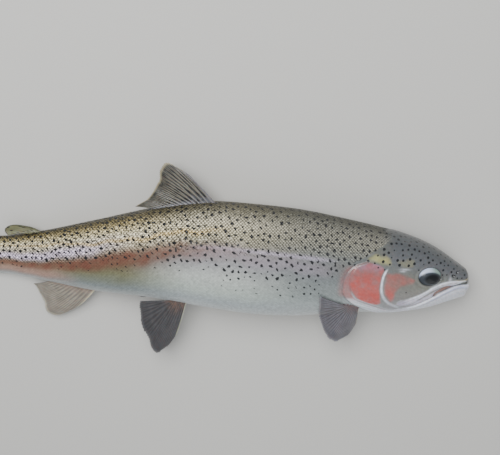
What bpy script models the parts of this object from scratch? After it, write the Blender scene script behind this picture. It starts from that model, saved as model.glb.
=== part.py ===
"""Rainbow trout, life size, lying at rest on its left flank.

The body is shaped straight first, in millimetres: s runs from the snout towards the
tail, u towards the back and v towards the right flank. Thin cuts part it into head,
lower jaw, gill covers, trunk and tail stalk. Every point then goes into the resting
pose, where the head faces +X, the back +Y and the right flank +Z.
"""

import math

import bmesh
import bpy
import numpy as np
from mathutils import Matrix, Vector

MM = 0.001

# The whole fish
FLESH_LENGTH = 516.0
NOSE_RADIUS = 5.0
SNOUT_X = 300.1
MIDLINE_Y = -0.1
GAP = 0.4
THINNEST = 0.2
FIN_CLEARANCE = 2.0
FIRST_ROW = 0.2
COLUMNS = 34
BEYOND = 60.0

# Distance behind the snout; back, belly and widest level; half width; and how square
# the section is above and below its widest level (1 is an ellipse, less is squarer)
STATIONS = (
    (0, 13.0, -12.6, 1.0, 9.8, 0.80, 0.80),
    (15, 22.0, -17.4, 1.5, 15.5, 0.76, 0.92),
    (40, 35.5, -29.0, 0.0, 22.5, 0.72, 1.02),
    (70, 44.8, -37.0, -1.0, 28.8, 0.74, 1.05),
    (100, 49.8, -40.8, 1.0, 31.8, 0.80, 1.00),
    (130, 54.0, -45.2, 3.0, 32.8, 0.88, 0.95),
    (170, 58.4, -53.2, 4.0, 33.6, 0.92, 0.92),
    (215, 59.6, -56.0, 4.0, 34.0, 0.94, 0.90),
    (260, 59.0, -53.0, 4.0, 33.0, 0.95, 0.90),
    (320, 49.5, -45.5, 3.0, 28.2, 0.96, 0.92),
    (380, 36.2, -39.8, -1.0, 20.0, 0.97, 0.96),
    (430, 26.0, -29.6, -1.5, 13.5, 1.00, 1.00),
    (470, 20.5, -21.8, -0.5, 9.5, 1.00, 1.00),
    (505, 22.0, -22.0, 0.0, 5.6, 1.00, 1.00),
    (516, 24.0, -24.0, 0.0, 3.2, 0.95, 0.95),
)

# How far the midline arches towards the back, from the snout to the tips of the tail
MIDLINE_ARCH = (
    (0, -3.2),
    (80, 1.6),
    (150, 5.8),
    (220, 8.8),
    (270, 9.0),
    (320, 5.9),
    (370, 0.2),
    (430, -7.2),
    (516, -17.0),
    (600, -25.0),
)

# How high the midline lies above the floor, from the snout to the tips of the tail
MIDLINE_HEIGHT = (
    (0, 27.0),
    (60, 29.0),
    (100, 30.3),
    (130, 31.3),
    (170, 32.1),
    (215, 32.5),
    (260, 31.5),
    (320, 26.7),
    (380, 18.5),
    (430, 12.0),
    (470, 8.0),
    (516, 3.4),
    (560, 1.1),
    (600, 0.5),
)

# Edges on the head, each as (s, u)
GILL_OPENING = (
    (77, 75),
    (79, 52),
    (84, 37),
    (95, 27.5),
    (108, 23.2),
    (119, 14.6),
    (126.5, -1.4),
    (128, -12.8),
    (124, -21.5),
    (110, -28.5),
    (95, -34),
    (84, -44),
    (80, -60),
)
GILL_COVER = (
    (83, 20.5),
    (95, 23),
    (107, 22.2),
    (118, 14.0),
    (125.7, -1.4),
    (127.2, -12.8),
    (123, -20.8),
    (109.5, -27.7),
    (94, -31.5),
    (80, -27),
    (86, -14.4),
    (89, -5.4),
    (88, 8),
)
UPPER_LIP = (
    (-12, 4.2),
    (0, 4.2),
    (9, 5.4),
    (18, 4.2),
    (27, 1.5),
    (36, -2.5),
    (45, -8),
    (54, -14.5),
    (63, -19.5),
    (73, -23),
)
LOWER_LIP = (
    (-12, 3.0),
    (0, 3.0),
    (10, 3.8),
    (20, 1.0),
    (28, -3.5),
    (36, -8.2),
    (49, -17.0),
    (62, -21.8),
    (73, -23.8),
)
JAW_HINGE = ((75, -27), (71, -34), (67, -60))
COVER_THICKNESS = 3.0
MOUTH_DEPTH = 4.0

# The eye: a flattened ball, with its half sizes along, up and out from the cheek
EYE_PLACE = (43.7, 11.8)
EYE_SIZE = (12.7, 10.4, 8.5)
EYE_DEPTH = 3.9

# Where the tail stalk begins, at the back and at the belly
STALK_START = ((423, BEYOND), (431, -BEYOND))

# Rays of the fins on the midline: place along the base, length, angle up from tailward
DORSAL_RAYS = (
    (0, 39, 49.5),
    (0.1, 56, 48),
    (0.2, 53, 43),
    (0.3, 43, 38),
    (0.45, 34, 31),
    (0.7, 23, 20),
    (1, 17, 8),
)
ADIPOSE_RAYS = ((0, 14, 38), (0.3, 27, 29), (0.6, 27, 20), (1, 18, 8))
ANAL_RAYS = (
    (0, 28, 56),
    (0.12, 47, 52),
    (0.25, 50, 48),
    (0.5, 38, 40),
    (0.75, 27, 32),
    (1, 18, 24),
)
TAIL_RAYS = (
    (0, 64, 26),
    (0.1, 87, 21),
    (0.28, 77, 12),
    (0.5, 64, 0),
    (0.72, 77, -12),
    (0.9, 87, -21),
    (1, 64, -26),
)
TAIL_ROOT = 22.5

# Rays of the paired fins: the same, and how high the tip lies above the floor
RIGHT_PELVIC_RAYS = (
    (0, 40, -79, 34),
    (0.15, 56, -77, 33),
    (0.3, 66, -73, 32),
    (0.5, 65, -68.5, 31),
    (0.7, 52, -60, 31),
    (0.85, 38, -39, 33),
    (1, 28, -22, 34),
)
LEFT_PELVIC_RAYS = (
    (0, 42, -24, 0.5),
    (0.2, 51, -20, 0.5),
    (0.5, 50, -14, 0.5),
    (1, 34, -4, 0.5),
)
RIGHT_PECTORAL_RAYS = (
    (0, 24, -95, 38),
    (0.2, 41, -87, 36),
    (0.4, 51, -79, 37),
    (0.6, 47, -67.5, 39),
    (0.75, 35, -48, 44),
    (0.88, 26, -12, 52),
    (1, 26, 18, 60),
)
LEFT_PECTORAL_RAYS = (
    (0, 56, -27, 0.5),
    (0.25, 66, -22, 0.5),
    (0.5, 63, -18, 0.5),
    (1, 40, -9, 0.5),
)

SKIN_MATERIAL = {
    "head": ("slate_head", (0.115, 0.125, 0.115), 0.35),
    "lower_jaw": ("pale_jaw", (0.52, 0.53, 0.52), 0.32),
    "gill_cover_left": ("rosy_cheek", (0.45, 0.16, 0.13), 0.3),
    "gill_cover_right": ("rosy_cheek", (0.45, 0.16, 0.13), 0.3),
    "trunk": ("silver_flank", (0.34, 0.33, 0.26), 0.32),
    "tail_stalk": ("silver_flank", (0.34, 0.33, 0.26), 0.32),
}
FIN_MATERIAL = ("fin_membrane", (0.16, 0.15, 0.12), 0.4)
EYE_MATERIAL = ("wet_eye", (0.05, 0.06, 0.06), 0.08)


def through(points):
    """A smooth function through (x, y) points, held flat beyond both ends."""
    xs, ys = np.array(points, float).T
    widths = np.diff(xs)
    rises = np.diff(ys) / widths
    inner = (rises[:-1] * widths[1:] + rises[1:] * widths[:-1]) / (widths[:-1] + widths[1:])
    slopes = np.concatenate([rises[:1], inner, rises[-1:]])

    def at(x):
        x = min(max(x, xs[0]), xs[-1])
        k = min(int(np.searchsorted(xs, x, side="right")) - 1, len(widths) - 1)
        t = (x - xs[k]) / widths[k]
        start = (1 + 2 * t) * (1 - t) ** 2 * ys[k] + t * (1 - t) ** 2 * widths[k] * slopes[k]
        return float(start + t * t * (3 - 2 * t) * ys[k + 1] + t * t * (t - 1) * widths[k] * slopes[k + 1])

    return at


BACK, BELLY, WIDEST, HALF_WIDTH, SQUARE_ABOVE, SQUARE_BELOW = (
    through([(row[0], row[column]) for row in STATIONS]) for column in range(1, 7)
)
ARCH = through(MIDLINE_ARCH)
HEIGHT = through(MIDLINE_HEIGHT)


def posed(s, u, v):
    """A point of the straight fish in its resting pose, in millimetres."""
    return Vector((-s, u + ARCH(s), max(0.0, v + HEIGHT(s))))


def nose_factor(s):
    """How far the section has opened out behind the round tip of the snout."""
    if s >= NOSE_RADIUS:
        return 1.0
    return math.sqrt(max(0.0, 1 - (1 - s / NOSE_RADIUS) ** 2))


def section(s, turn, grow=0.0):
    """(u, v) on the body's section at s; turn is 0 at the back and pi at the belly."""
    opened = nose_factor(s)
    middle = WIDEST(s)
    rise, fall = BACK(s) - middle, middle - BELLY(s)
    across = math.sin(turn)
    square = SQUARE_ABOVE(s) if math.cos(turn) > 0 else SQUARE_BELOW(s)
    reach = max(THINNEST, (rise if math.cos(turn) > 0 else fall) * opened + grow)
    width = max(THINNEST, HALF_WIDTH(s) * opened + grow)
    return middle + reach * math.cos(turn), math.copysign(abs(across) ** square, across) * width


def flank(s, u):
    """How far the right flank stands out from the midline at (s, u)."""
    middle = WIDEST(s)
    reach = BACK(s) - middle if u > middle else middle - BELLY(s)
    level = min(1.0, abs(u - middle) / reach)
    square = SQUARE_ABOVE(s) if u > middle else SQUARE_BELOW(s)
    return HALF_WIDTH(s) * (1 - level * level) ** (square / 2)


def ring_places():
    """Where the body's rings lie: close at the nose, 6 mm apart on the head, then wider."""
    nose = [NOSE_RADIUS * (1 - math.cos(math.pi * k / 8)) for k in range(5)]
    head = list(np.linspace(NOSE_RADIUS, 128, 20))[1:]
    trunk = list(np.linspace(128, 428, 25))[1:]
    stalk = list(np.linspace(428, FLESH_LENGTH - 0.6, 8))[1:]
    return nose + head + trunk + stalk + [FLESH_LENGTH]


def new_object(name, bm):
    """An object made from a bmesh, in the scene."""
    mesh = bpy.data.meshes.new(name)
    bm.to_mesh(mesh)
    bm.free()
    made = bpy.data.objects.new(name, mesh)
    bpy.context.scene.collection.objects.link(made)
    return made


def body(name, grow=0.0):
    """The straight body: a sphere's rings drawn out along the fish and set to its sections."""
    places = ring_places()
    bm = bmesh.new()
    bmesh.ops.create_uvsphere(bm, u_segments=COLUMNS, v_segments=len(places) - 1, radius=1)
    for vert in bm.verts:
        ring = round(math.acos(max(-1.0, min(1.0, vert.co.z))) / math.pi * (len(places) - 1))
        s = places[ring]
        ends = ring in (0, len(places) - 1)
        u, v = (WIDEST(s), 0) if ends else section(s, math.atan2(vert.co.y, vert.co.x), grow)
        vert.co = (s - grow + 2 * grow * s / FLESH_LENGTH, u, v)
    bmesh.ops.reverse_faces(bm, faces=bm.faces[:])
    return new_object(name, bm)


def smooth_outline(points, spacing, closed=False):
    """Points about this far apart on a smooth curve through the given ones."""
    given = [Vector(p) for p in points]
    if closed:
        given = given[-2:] + given + given[:3]
    along = [0.0]
    for a, b in zip(given, given[1:]):
        along.append(along[-1] + (b - a).length)
    across = through([(d, p.x) for d, p in zip(along, given)])
    up = through([(d, p.y) for d, p in zip(along, given)])
    first, last = (along[2], along[-3]) if closed else (along[0], along[-1])
    count = max(2, round((last - first) / spacing))
    steps = np.linspace(first, last, count + 1)
    return [(across(d), up(d)) for d in (steps[:-1] if closed else steps)]


def moved_out(outline, distance):
    """The outline moved sideways by a distance, to the left of the way it runs."""
    moved = []
    for k, (s, u) in enumerate(outline):
        before, after = outline[max(0, k - 1)], outline[min(len(outline) - 1, k + 1)]
        along = Vector((after[0] - before[0], after[1] - before[1])).normalized()
        moved.append((s - along.y * distance, u + along.x * distance))
    return moved


def grown(outline, distance):
    """A closed outline made larger all round, or smaller by a negative distance."""
    area = sum(a[0] * b[1] - b[0] * a[1] for a, b in zip(outline, outline[1:] + outline[:1]))
    wrapped = outline[-1:] + outline + outline[:1]
    return moved_out(wrapped, -distance if area > 0 else distance)[1:-1]


def prism(name, outline, low=-BEYOND, high=BEYOND):
    """A closed outline in (s, u), pushed across the fish from v = low to v = high."""
    bm = bmesh.new()
    face = bm.faces.new([bm.verts.new((s, u, low)) for s, u in outline])
    pushed = bmesh.ops.extrude_face_region(bm, geom=[face])["geom"]
    verts = [item for item in pushed if isinstance(item, bmesh.types.BMVert)]
    bmesh.ops.translate(bm, verts=verts, vec=(0, 0, high - low))
    bmesh.ops.recalc_face_normals(bm, faces=bm.faces[:])
    return new_object(name, bm)


def boolean(target, tool, operation):
    """Cuts or joins the target with a tool, and removes the tool."""
    modifier = target.modifiers.new(operation.lower(), "BOOLEAN")
    modifier.operation = operation
    modifier.solver = "EXACT"
    modifier.object = tool
    bpy.context.view_layer.update()
    shaped = bpy.data.meshes.new_from_object(target.evaluated_get(bpy.context.evaluated_depsgraph_get()))
    target.modifiers.clear()
    target.data = shaped
    bpy.data.objects.remove(tool, do_unlink=True)


def head_area(distance):
    """All that lies before the gill opening, less a distance."""
    edge = moved_out(smooth_outline(GILL_OPENING, 4.0), -distance)
    return edge + [(-20, -75), (-20, 75)]


def jaw_area(lip, distance):
    """All that lies under a lip's edge and before the jaw's hinge, less a distance."""
    edge = smooth_outline(lip, 5.0) + smooth_outline((lip[-1],) + JAW_HINGE, 6.0)[1:]
    return moved_out(edge, -distance) + [(-12, -60)]


def eyeball(name, side, grow=0.0):
    """One flattened eyeball, set into the side of the head and facing out as the skin does."""
    s, u = EYE_PLACE
    along = Vector((2, 0, flank(s + 1, u) - flank(s - 1, u))).normalized()
    upward = Vector((0, 2, flank(s, u + 1) - flank(s, u - 1))).normalized()
    outward = along.cross(upward).normalized()
    centre = Vector((s, u, flank(s, u))) - outward * EYE_DEPTH
    bm = bmesh.new()
    bmesh.ops.create_uvsphere(bm, u_segments=16, v_segments=10, radius=1)
    bmesh.ops.scale(bm, verts=bm.verts[:], vec=[half + grow for half in EYE_SIZE])
    axes = Matrix((along, outward.cross(along), outward)).transposed()
    bmesh.ops.rotate(bm, verts=bm.verts[:], matrix=axes)
    bmesh.ops.translate(bm, verts=bm.verts[:], vec=centre)
    if side < 0:
        bmesh.ops.scale(bm, verts=bm.verts[:], vec=(1, 1, -1))
        bmesh.ops.reverse_faces(bm, faces=bm.faces[:])
    return new_object(name, bm)


def cover_cutter(side, distance, depth):
    """The space of one gill cover: its outline pushed in to a depth under the cheek."""
    outline = grown(smooth_outline(GILL_COVER, 6.0, closed=True), distance)
    tool = prism("cover_tool", outline, min(0, side * BEYOND), max(0, side * BEYOND))
    boolean(tool, body("cover_floor", -depth), "DIFFERENCE")
    return tool


def mouth_cutter():
    """The slit between the lips, pushed in as far as the lining of the cheek."""
    under = moved_out(smooth_outline(LOWER_LIP, 5.0), -1.0)
    lips = smooth_outline(UPPER_LIP, 5.0) + under[::-1]
    tool = prism("mouth_tool", lips)
    boolean(tool, body("mouth_floor", -MOUTH_DEPTH), "DIFFERENCE")
    return tool


def make_flesh():
    """Head, lower jaw, gill covers, trunk and tail stalk, parted by thin cuts."""
    upper, lower = STALK_START
    stalk_area = [upper, lower, (FLESH_LENGTH + BEYOND, -BEYOND), (FLESH_LENGTH + BEYOND, BEYOND)]
    trunk_area = [(upper[0] - GAP, BEYOND), (lower[0] - GAP, -BEYOND), (0, -BEYOND), (0, BEYOND)]
    head = body("head")
    boolean(head, prism("tool", head_area(GAP / 2)), "INTERSECT")
    boolean(head, prism("tool", jaw_area(LOWER_LIP, 0)), "DIFFERENCE")
    boolean(head, mouth_cutter(), "DIFFERENCE")
    jaw = body("lower_jaw")
    boolean(jaw, prism("tool", jaw_area(LOWER_LIP, GAP)), "INTERSECT")
    trunk = body("trunk")
    boolean(trunk, prism("tool", head_area(-GAP / 2)), "DIFFERENCE")
    boolean(trunk, prism("tool", trunk_area), "INTERSECT")
    stalk = body("tail_stalk")
    boolean(stalk, prism("tool", stalk_area), "INTERSECT")
    flesh = [head, jaw, trunk, stalk]
    for side, word in ((1, "right"), (-1, "left")):
        cover = body("gill_cover_" + word)
        boolean(cover, cover_cutter(side, 0, COVER_THICKNESS), "INTERSECT")
        boolean(head, cover_cutter(side, GAP, COVER_THICKNESS + GAP), "DIFFERENCE")
        boolean(head, eyeball("socket", side, GAP), "DIFFERENCE")
        flesh += [cover, eyeball("eye_" + word, side)]
    for piece in flesh:
        settle(piece)
    return flesh


def settle(piece):
    """Moves a straight piece's points into the resting pose, which turns its s about."""
    for vert in piece.data.vertices:
        vert.co = posed(*vert.co)
    piece.data.flip_normals()


def ray_point(root, angle, bend, distance, length):
    """A point on a fin ray in (s, u): the angle is up from tailward, easing by the bend."""
    turned = math.radians(angle - bend * distance / length / 2)
    return root[0] + distance * math.cos(turned), root[1] + distance * math.sin(turned)


def sheet(name, surface, rays, rows, root_thickness, tip_thickness):
    """A closed fin, thinner towards its tips, ribbed along every second ray.

    surface(a, b) gives the middle of the fin in the resting pose, with a along the root
    and b from the root to the tip.
    """
    bm = bmesh.new()
    bmesh.ops.create_grid(bm, x_segments=rays, y_segments=rows, size=1)
    place = {vert: ((vert.co.x + 1) / 2, (vert.co.y + 1) / 2) for vert in bm.verts}
    low = bm.verts[:]
    pushed = bmesh.ops.extrude_face_region(bm, geom=bm.faces[:])["geom"]
    high = [item for item in pushed if isinstance(item, bmesh.types.BMVert)]
    where = {tuple(round(c, 5) for c in vert.co): place[vert] for vert in low}
    step = 0.01
    for verts, side in ((low, -1), (high, 1)):
        for vert in verts:
            a, b = where[tuple(round(c, 5) for c in vert.co)]
            along = surface(min(a + step, 1), b) - surface(max(a - step, 0), b)
            out = surface(a, min(b + step, 1)) - surface(a, max(b - step, 0))
            normal = out.cross(along).normalized()
            rib = 0.82 + 0.18 * math.cos(math.pi * rays * a)
            thickness = (root_thickness + (tip_thickness - root_thickness) * b) * max(rib, 1 - 0.3 * b)
            vert.co = surface(a, b) + normal * (side * thickness / 2)
            vert.co.z = max(0.0, vert.co.z)
    bmesh.ops.recalc_face_normals(bm, faces=bm.faces[:])
    if bm.calc_volume(signed=True) < 0:
        bmesh.ops.reverse_faces(bm, faces=bm.faces[:])
    return new_object(name, bm)


def median_surface(base, edge, side, rays, bend, droop, embed):
    """The middle of a fin that stands on the midline, from its base's two ends.

    Each of the rays is (place along the base, length, angle up from tailward).
    """
    reach = through([ray[:2] for ray in rays])
    lean = through([(ray[0], ray[2]) for ray in rays])

    def at(a, b):
        s = base[0] + (base[1] - base[0]) * a
        length = reach(a) + embed
        angle = lean(a)
        root = (s, edge(s) - embed * math.sin(math.radians(angle)))
        point_s, point_u = ray_point(root, angle, bend, length * b, length)
        return posed(point_s, side * point_u, -droop * b * b)

    return at


def paired_surface(front, rear, side, rays, bend, embed):
    """The middle of a fin on one flank, falling from the flesh to its tips' heights.

    Each of the rays is (place along the base, length, angle up from tailward, tip height).
    """
    reach, lean, tips = (through([(ray[0], ray[k]) for ray in rays]) for k in (1, 2, 3))

    def at(a, b):
        s, u = (first + (last - first) * a for first, last in zip(front, rear))
        length = reach(a) + embed
        angle, tip = lean(a), tips(a)
        back = math.radians(angle)
        root = (s - embed * math.cos(back), u - embed * math.sin(back))
        point_s, point_u = ray_point(root, angle, bend, length * b, length)
        point = posed(point_s, point_u, 0)
        start = HEIGHT(s) + side * flank(s, u)
        fallen = b**1.1 if side > 0 else 1 - (1 - b) ** 2
        point.z = start + (tip - start) * fallen
        if side > 0 and point_u > BELLY(point_s):
            risen = min(1.0, b / FIRST_ROW)
            clear = FIN_CLEARANCE * risen - embed * (1 - risen)
            point.z = max(point.z, HEIGHT(point_s) + flank(point_s, point_u) + clear)
        return point

    return at


def tail_surface(a, b):
    """The middle of the tail fin; a runs from its upper edge to its lower edge."""
    length = through([ray[:2] for ray in TAIL_RAYS])(a)
    angle = through([(ray[0], ray[2]) for ray in TAIL_RAYS])(a)
    s, u = ray_point((FLESH_LENGTH + GAP, TAIL_ROOT * (1 - 2 * a)), angle, 0, length * b, length)
    return posed(s, u, 0)


def make_fins():
    """The eight fins; those set into the flesh are trimmed where they meet it."""
    dorsal = median_surface((257, 318), BACK, 1, DORSAL_RAYS, 10, 3, 3)
    adipose = median_surface((433, 447), BACK, 1, ADIPOSE_RAYS, 20, -3, 2)
    anal = median_surface((376, 424), lambda s: -BELLY(s), -1, ANAL_RAYS, 14, 5, 3)
    right_pelvic = paired_surface((282, -47), (300, -44.5), 1, RIGHT_PELVIC_RAYS, -4, 3)
    left_pelvic = paired_surface((282, -45), (300, -42.5), -1, LEFT_PELVIC_RAYS, -6, 3)
    right_pectoral = paired_surface((110, -30.5), (126, -24.5), 1, RIGHT_PECTORAL_RAYS, -4, 3)
    left_pectoral = paired_surface((99, -31), (117, -33), -1, LEFT_PECTORAL_RAYS, -6, 3)
    fins = [
        sheet("dorsal_fin", dorsal, 14, 4, 2.6, 1.0),
        sheet("adipose_fin", adipose, 6, 4, 2.6, 1.2),
        sheet("anal_fin", anal, 12, 4, 2.6, 1.0),
        sheet("pelvic_fin_right", right_pelvic, 10, 5, 2.4, 1.0),
        sheet("pelvic_fin_left", left_pelvic, 10, 5, 2.4, 1.0),
        sheet("pectoral_fin_right", right_pectoral, 12, 5, 2.4, 1.0),
        sheet("pectoral_fin_left", left_pectoral, 12, 5, 2.4, 1.0),
    ]
    for fin in fins:
        flesh = body("flesh", GAP)
        settle(flesh)
        boolean(fin, flesh, "DIFFERENCE")
    return fins + [sheet("tail_fin", tail_surface, 18, 5, 3.0, 1.0)]


def material(name, colour, roughness):
    """One Principled material, made once and then shared."""
    made = bpy.data.materials.get(name)
    if made is None:
        made = bpy.data.materials.new(name)
        made.use_nodes = True
        shader = made.node_tree.nodes["Principled BSDF"]
        shader.inputs["Base Color"].default_value = (*colour, 1)
        shader.inputs["Roughness"].default_value = roughness
        shader.inputs["Metallic"].default_value = 0.0
    return made


def finish(piece, fish):
    """Puts a piece in metres under the fish's own empty, shaded smooth, with its material."""
    for vert in piece.data.vertices:
        vert.co = vert.co * MM
    look = SKIN_MATERIAL.get(piece.name, EYE_MATERIAL if piece.name.startswith("eye") else FIN_MATERIAL)
    piece.data.materials.clear()
    piece.data.materials.append(material(*look))
    piece.data.shade_smooth()
    piece.data.set_sharp_from_angle(angle=math.radians(35))
    piece.parent = fish


def main():
    for old in list(bpy.data.objects):
        bpy.data.objects.remove(old, do_unlink=True)
    fish = bpy.data.objects.new("trout", None)
    fish.location = (SNOUT_X * MM, MIDLINE_Y * MM, 0)
    bpy.context.scene.collection.objects.link(fish)
    for piece in make_flesh() + make_fins():
        finish(piece, fish)


if __name__ == "__main__":
    main()
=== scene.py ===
"""Dresses a life-size rainbow trout that lies on its left flank, as on a table.

The fish is described straight first, in millimetres: s runs from the snout towards the
tail, u towards the back and v towards the right flank. Round the body, a place is given
as g: 0 on the back's midline, 1 or -1 on the belly's, positive on the right flank. Every
point then goes into the resting pose, head to +X, back to +Y and right flank up.
"""

import logging
import math
from dataclasses import dataclass, field
from enum import Enum
from typing import Callable, Iterable, Sequence

import bmesh
import bpy
import numpy as np
from mathutils import Matrix, Vector
from mathutils.kdtree import KDTree


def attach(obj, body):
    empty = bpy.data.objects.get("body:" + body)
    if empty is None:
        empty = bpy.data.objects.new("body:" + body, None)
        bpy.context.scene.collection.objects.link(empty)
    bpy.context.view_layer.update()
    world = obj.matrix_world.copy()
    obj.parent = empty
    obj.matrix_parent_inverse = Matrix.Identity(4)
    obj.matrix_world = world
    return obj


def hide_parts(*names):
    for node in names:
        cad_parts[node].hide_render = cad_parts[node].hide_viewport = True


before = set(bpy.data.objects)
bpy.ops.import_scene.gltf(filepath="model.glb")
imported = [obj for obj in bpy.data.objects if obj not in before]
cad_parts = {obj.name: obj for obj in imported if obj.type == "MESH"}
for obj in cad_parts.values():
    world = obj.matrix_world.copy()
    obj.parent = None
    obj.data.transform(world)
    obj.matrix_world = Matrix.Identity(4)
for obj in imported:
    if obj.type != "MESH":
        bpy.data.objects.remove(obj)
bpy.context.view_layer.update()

LOG = logging.getLogger("trout")
MM = 0.001
SEED = 20611

Array = np.ndarray
Points = Sequence[tuple[float, ...]]
Stops = tuple[tuple[float, str], ...]
Surface = Callable[[Array, Array], Array]
Socket = bpy.types.NodeSocket
Source = bpy.types.Node | bpy.types.NodeSocket
Tree = bpy.types.NodeTree


class Side(Enum):
    """A flank of the fish, as the sign of g and v on it."""

    RIGHT = 1
    LEFT = -1


# ---- curves and shape


class Curve:
    """A smooth function through (x, y) points, held flat beyond both ends."""

    def __init__(self, points: Points) -> None:
        """Works out the slope at each point.

        Args:
            points: (x, y) pairs with x rising.
        """
        self.xs, self.ys = np.array(points, float).T
        widths = np.diff(self.xs)
        rises = np.diff(self.ys) / widths
        inner = (rises[:-1] * widths[1:] + rises[1:] * widths[:-1]) / (widths[:-1] + widths[1:])
        self.slopes = np.concatenate([rises[:1], inner, rises[-1:]])
        self.widths = widths

    def __call__(self, x: Array | float) -> Array:
        """The function itself.

        Args:
            x: Where it is wanted.

        Returns:
            Its values there.
        """
        x = np.clip(np.asarray(x, float), self.xs[0], self.xs[-1])
        k = np.clip(np.searchsorted(self.xs, x, side="right") - 1, 0, len(self.widths) - 1)
        w = self.widths[k]
        t = (x - self.xs[k]) / w
        value = (1 + 2 * t) * (1 - t) ** 2 * self.ys[k] + t * (1 - t) ** 2 * w * self.slopes[k]
        value = value + t * t * (3 - 2 * t) * self.ys[k + 1]
        return value + t * t * (t - 1) * w * self.slopes[k + 1]


def ease(x: Array, low: float, high: float) -> Array:
    """0 below low and 1 above high, with a smooth step between; low may be above high."""
    t = np.clip((x - low) / (high - low), 0.0, 1.0)
    return t * t * (3 - 2 * t)


def bell(x: Array, width: float) -> Array:
    """A bell curve of this half width round x = 0."""
    return np.exp(-((x / width) ** 2))


def strongest(*masks: Array) -> Array:
    """The highest of several masks at each place."""
    return np.maximum.reduce(masks)


class Line:
    """A smooth line on the side of the fish, in (s, u), open or closed."""

    def __init__(self, points: Points, closed: bool = False, spacing: float = 1.5) -> None:
        """Draws a smooth line through the points.

        Args:
            points: (s, u) pairs in millimetres.
            closed: Whether the last point joins the first.
            spacing: How far apart the line's own points lie, in millimetres.
        """
        given = np.array(points, float)
        if closed:
            given = np.concatenate([given[-2:], given, given[:3]])
        along = np.concatenate([[0.0], np.cumsum(np.hypot(*np.diff(given, axis=0).T))])
        first, last = (along[2], along[-3]) if closed else (along[0], along[-1])
        steps = np.linspace(first, last, max(3, round((last - first) / spacing)) + 1)
        across, up = (Curve(list(zip(along, given[:, k])))(steps) for k in (0, 1))
        self.points = np.stack([across, up], axis=1)

    def near(self, s: Array, u: Array) -> tuple[Array, Array]:
        """How far each place is from the line.

        Args:
            s: Distances behind the snout.
            u: Heights towards the back.

        Returns:
            The distance, positive to the left of the way the line runs, and how far
            along the line the nearest point is, from 0 to 1.
        """
        best = np.full(s.shape, np.inf)
        turn = np.ones(s.shape)
        along = np.zeros(s.shape)
        count = len(self.points) - 1
        for k in range(count):
            (a, b), (c, d) = self.points[k], self.points[k + 1]
            run, rise = c - a, d - b
            t = np.clip(((s - a) * run + (u - b) * rise) / (run * run + rise * rise), 0, 1)
            ds, du = s - a - t * run, u - b - t * rise
            square = ds * ds + du * du
            closer = square < best
            best = np.where(closer, square, best)
            turn = np.where(closer, np.sign(run * (u - b) - rise * (s - a)), turn)
            along = np.where(closer, (k + t) / count, along)
        return np.sqrt(best) * turn, along

    def inside(self, s: Array, u: Array) -> Array:
        """How deep each place lies inside a closed line.

        Args:
            s: Distances behind the snout.
            u: Heights towards the back.

        Returns:
            The depth, negative outside the line.
        """
        distance, _ = self.near(s, u)
        odd = np.zeros(s.shape, bool)
        for (a, b), (c, d) in zip(self.points, self.points[1:]):
            if b == d:
                continue
            odd ^= ((b > u) != (d > u)) & (s < a + (u - b) * (c - a) / (d - b))
        return np.where(odd, 1.0, -1.0) * np.abs(distance)


def drawn(*points: tuple[float, float], closed: bool = False) -> Line:
    """A dataclass field that holds a smooth line of its own through (s, u) points."""
    return field(default_factory=lambda: Line(points, closed))


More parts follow.
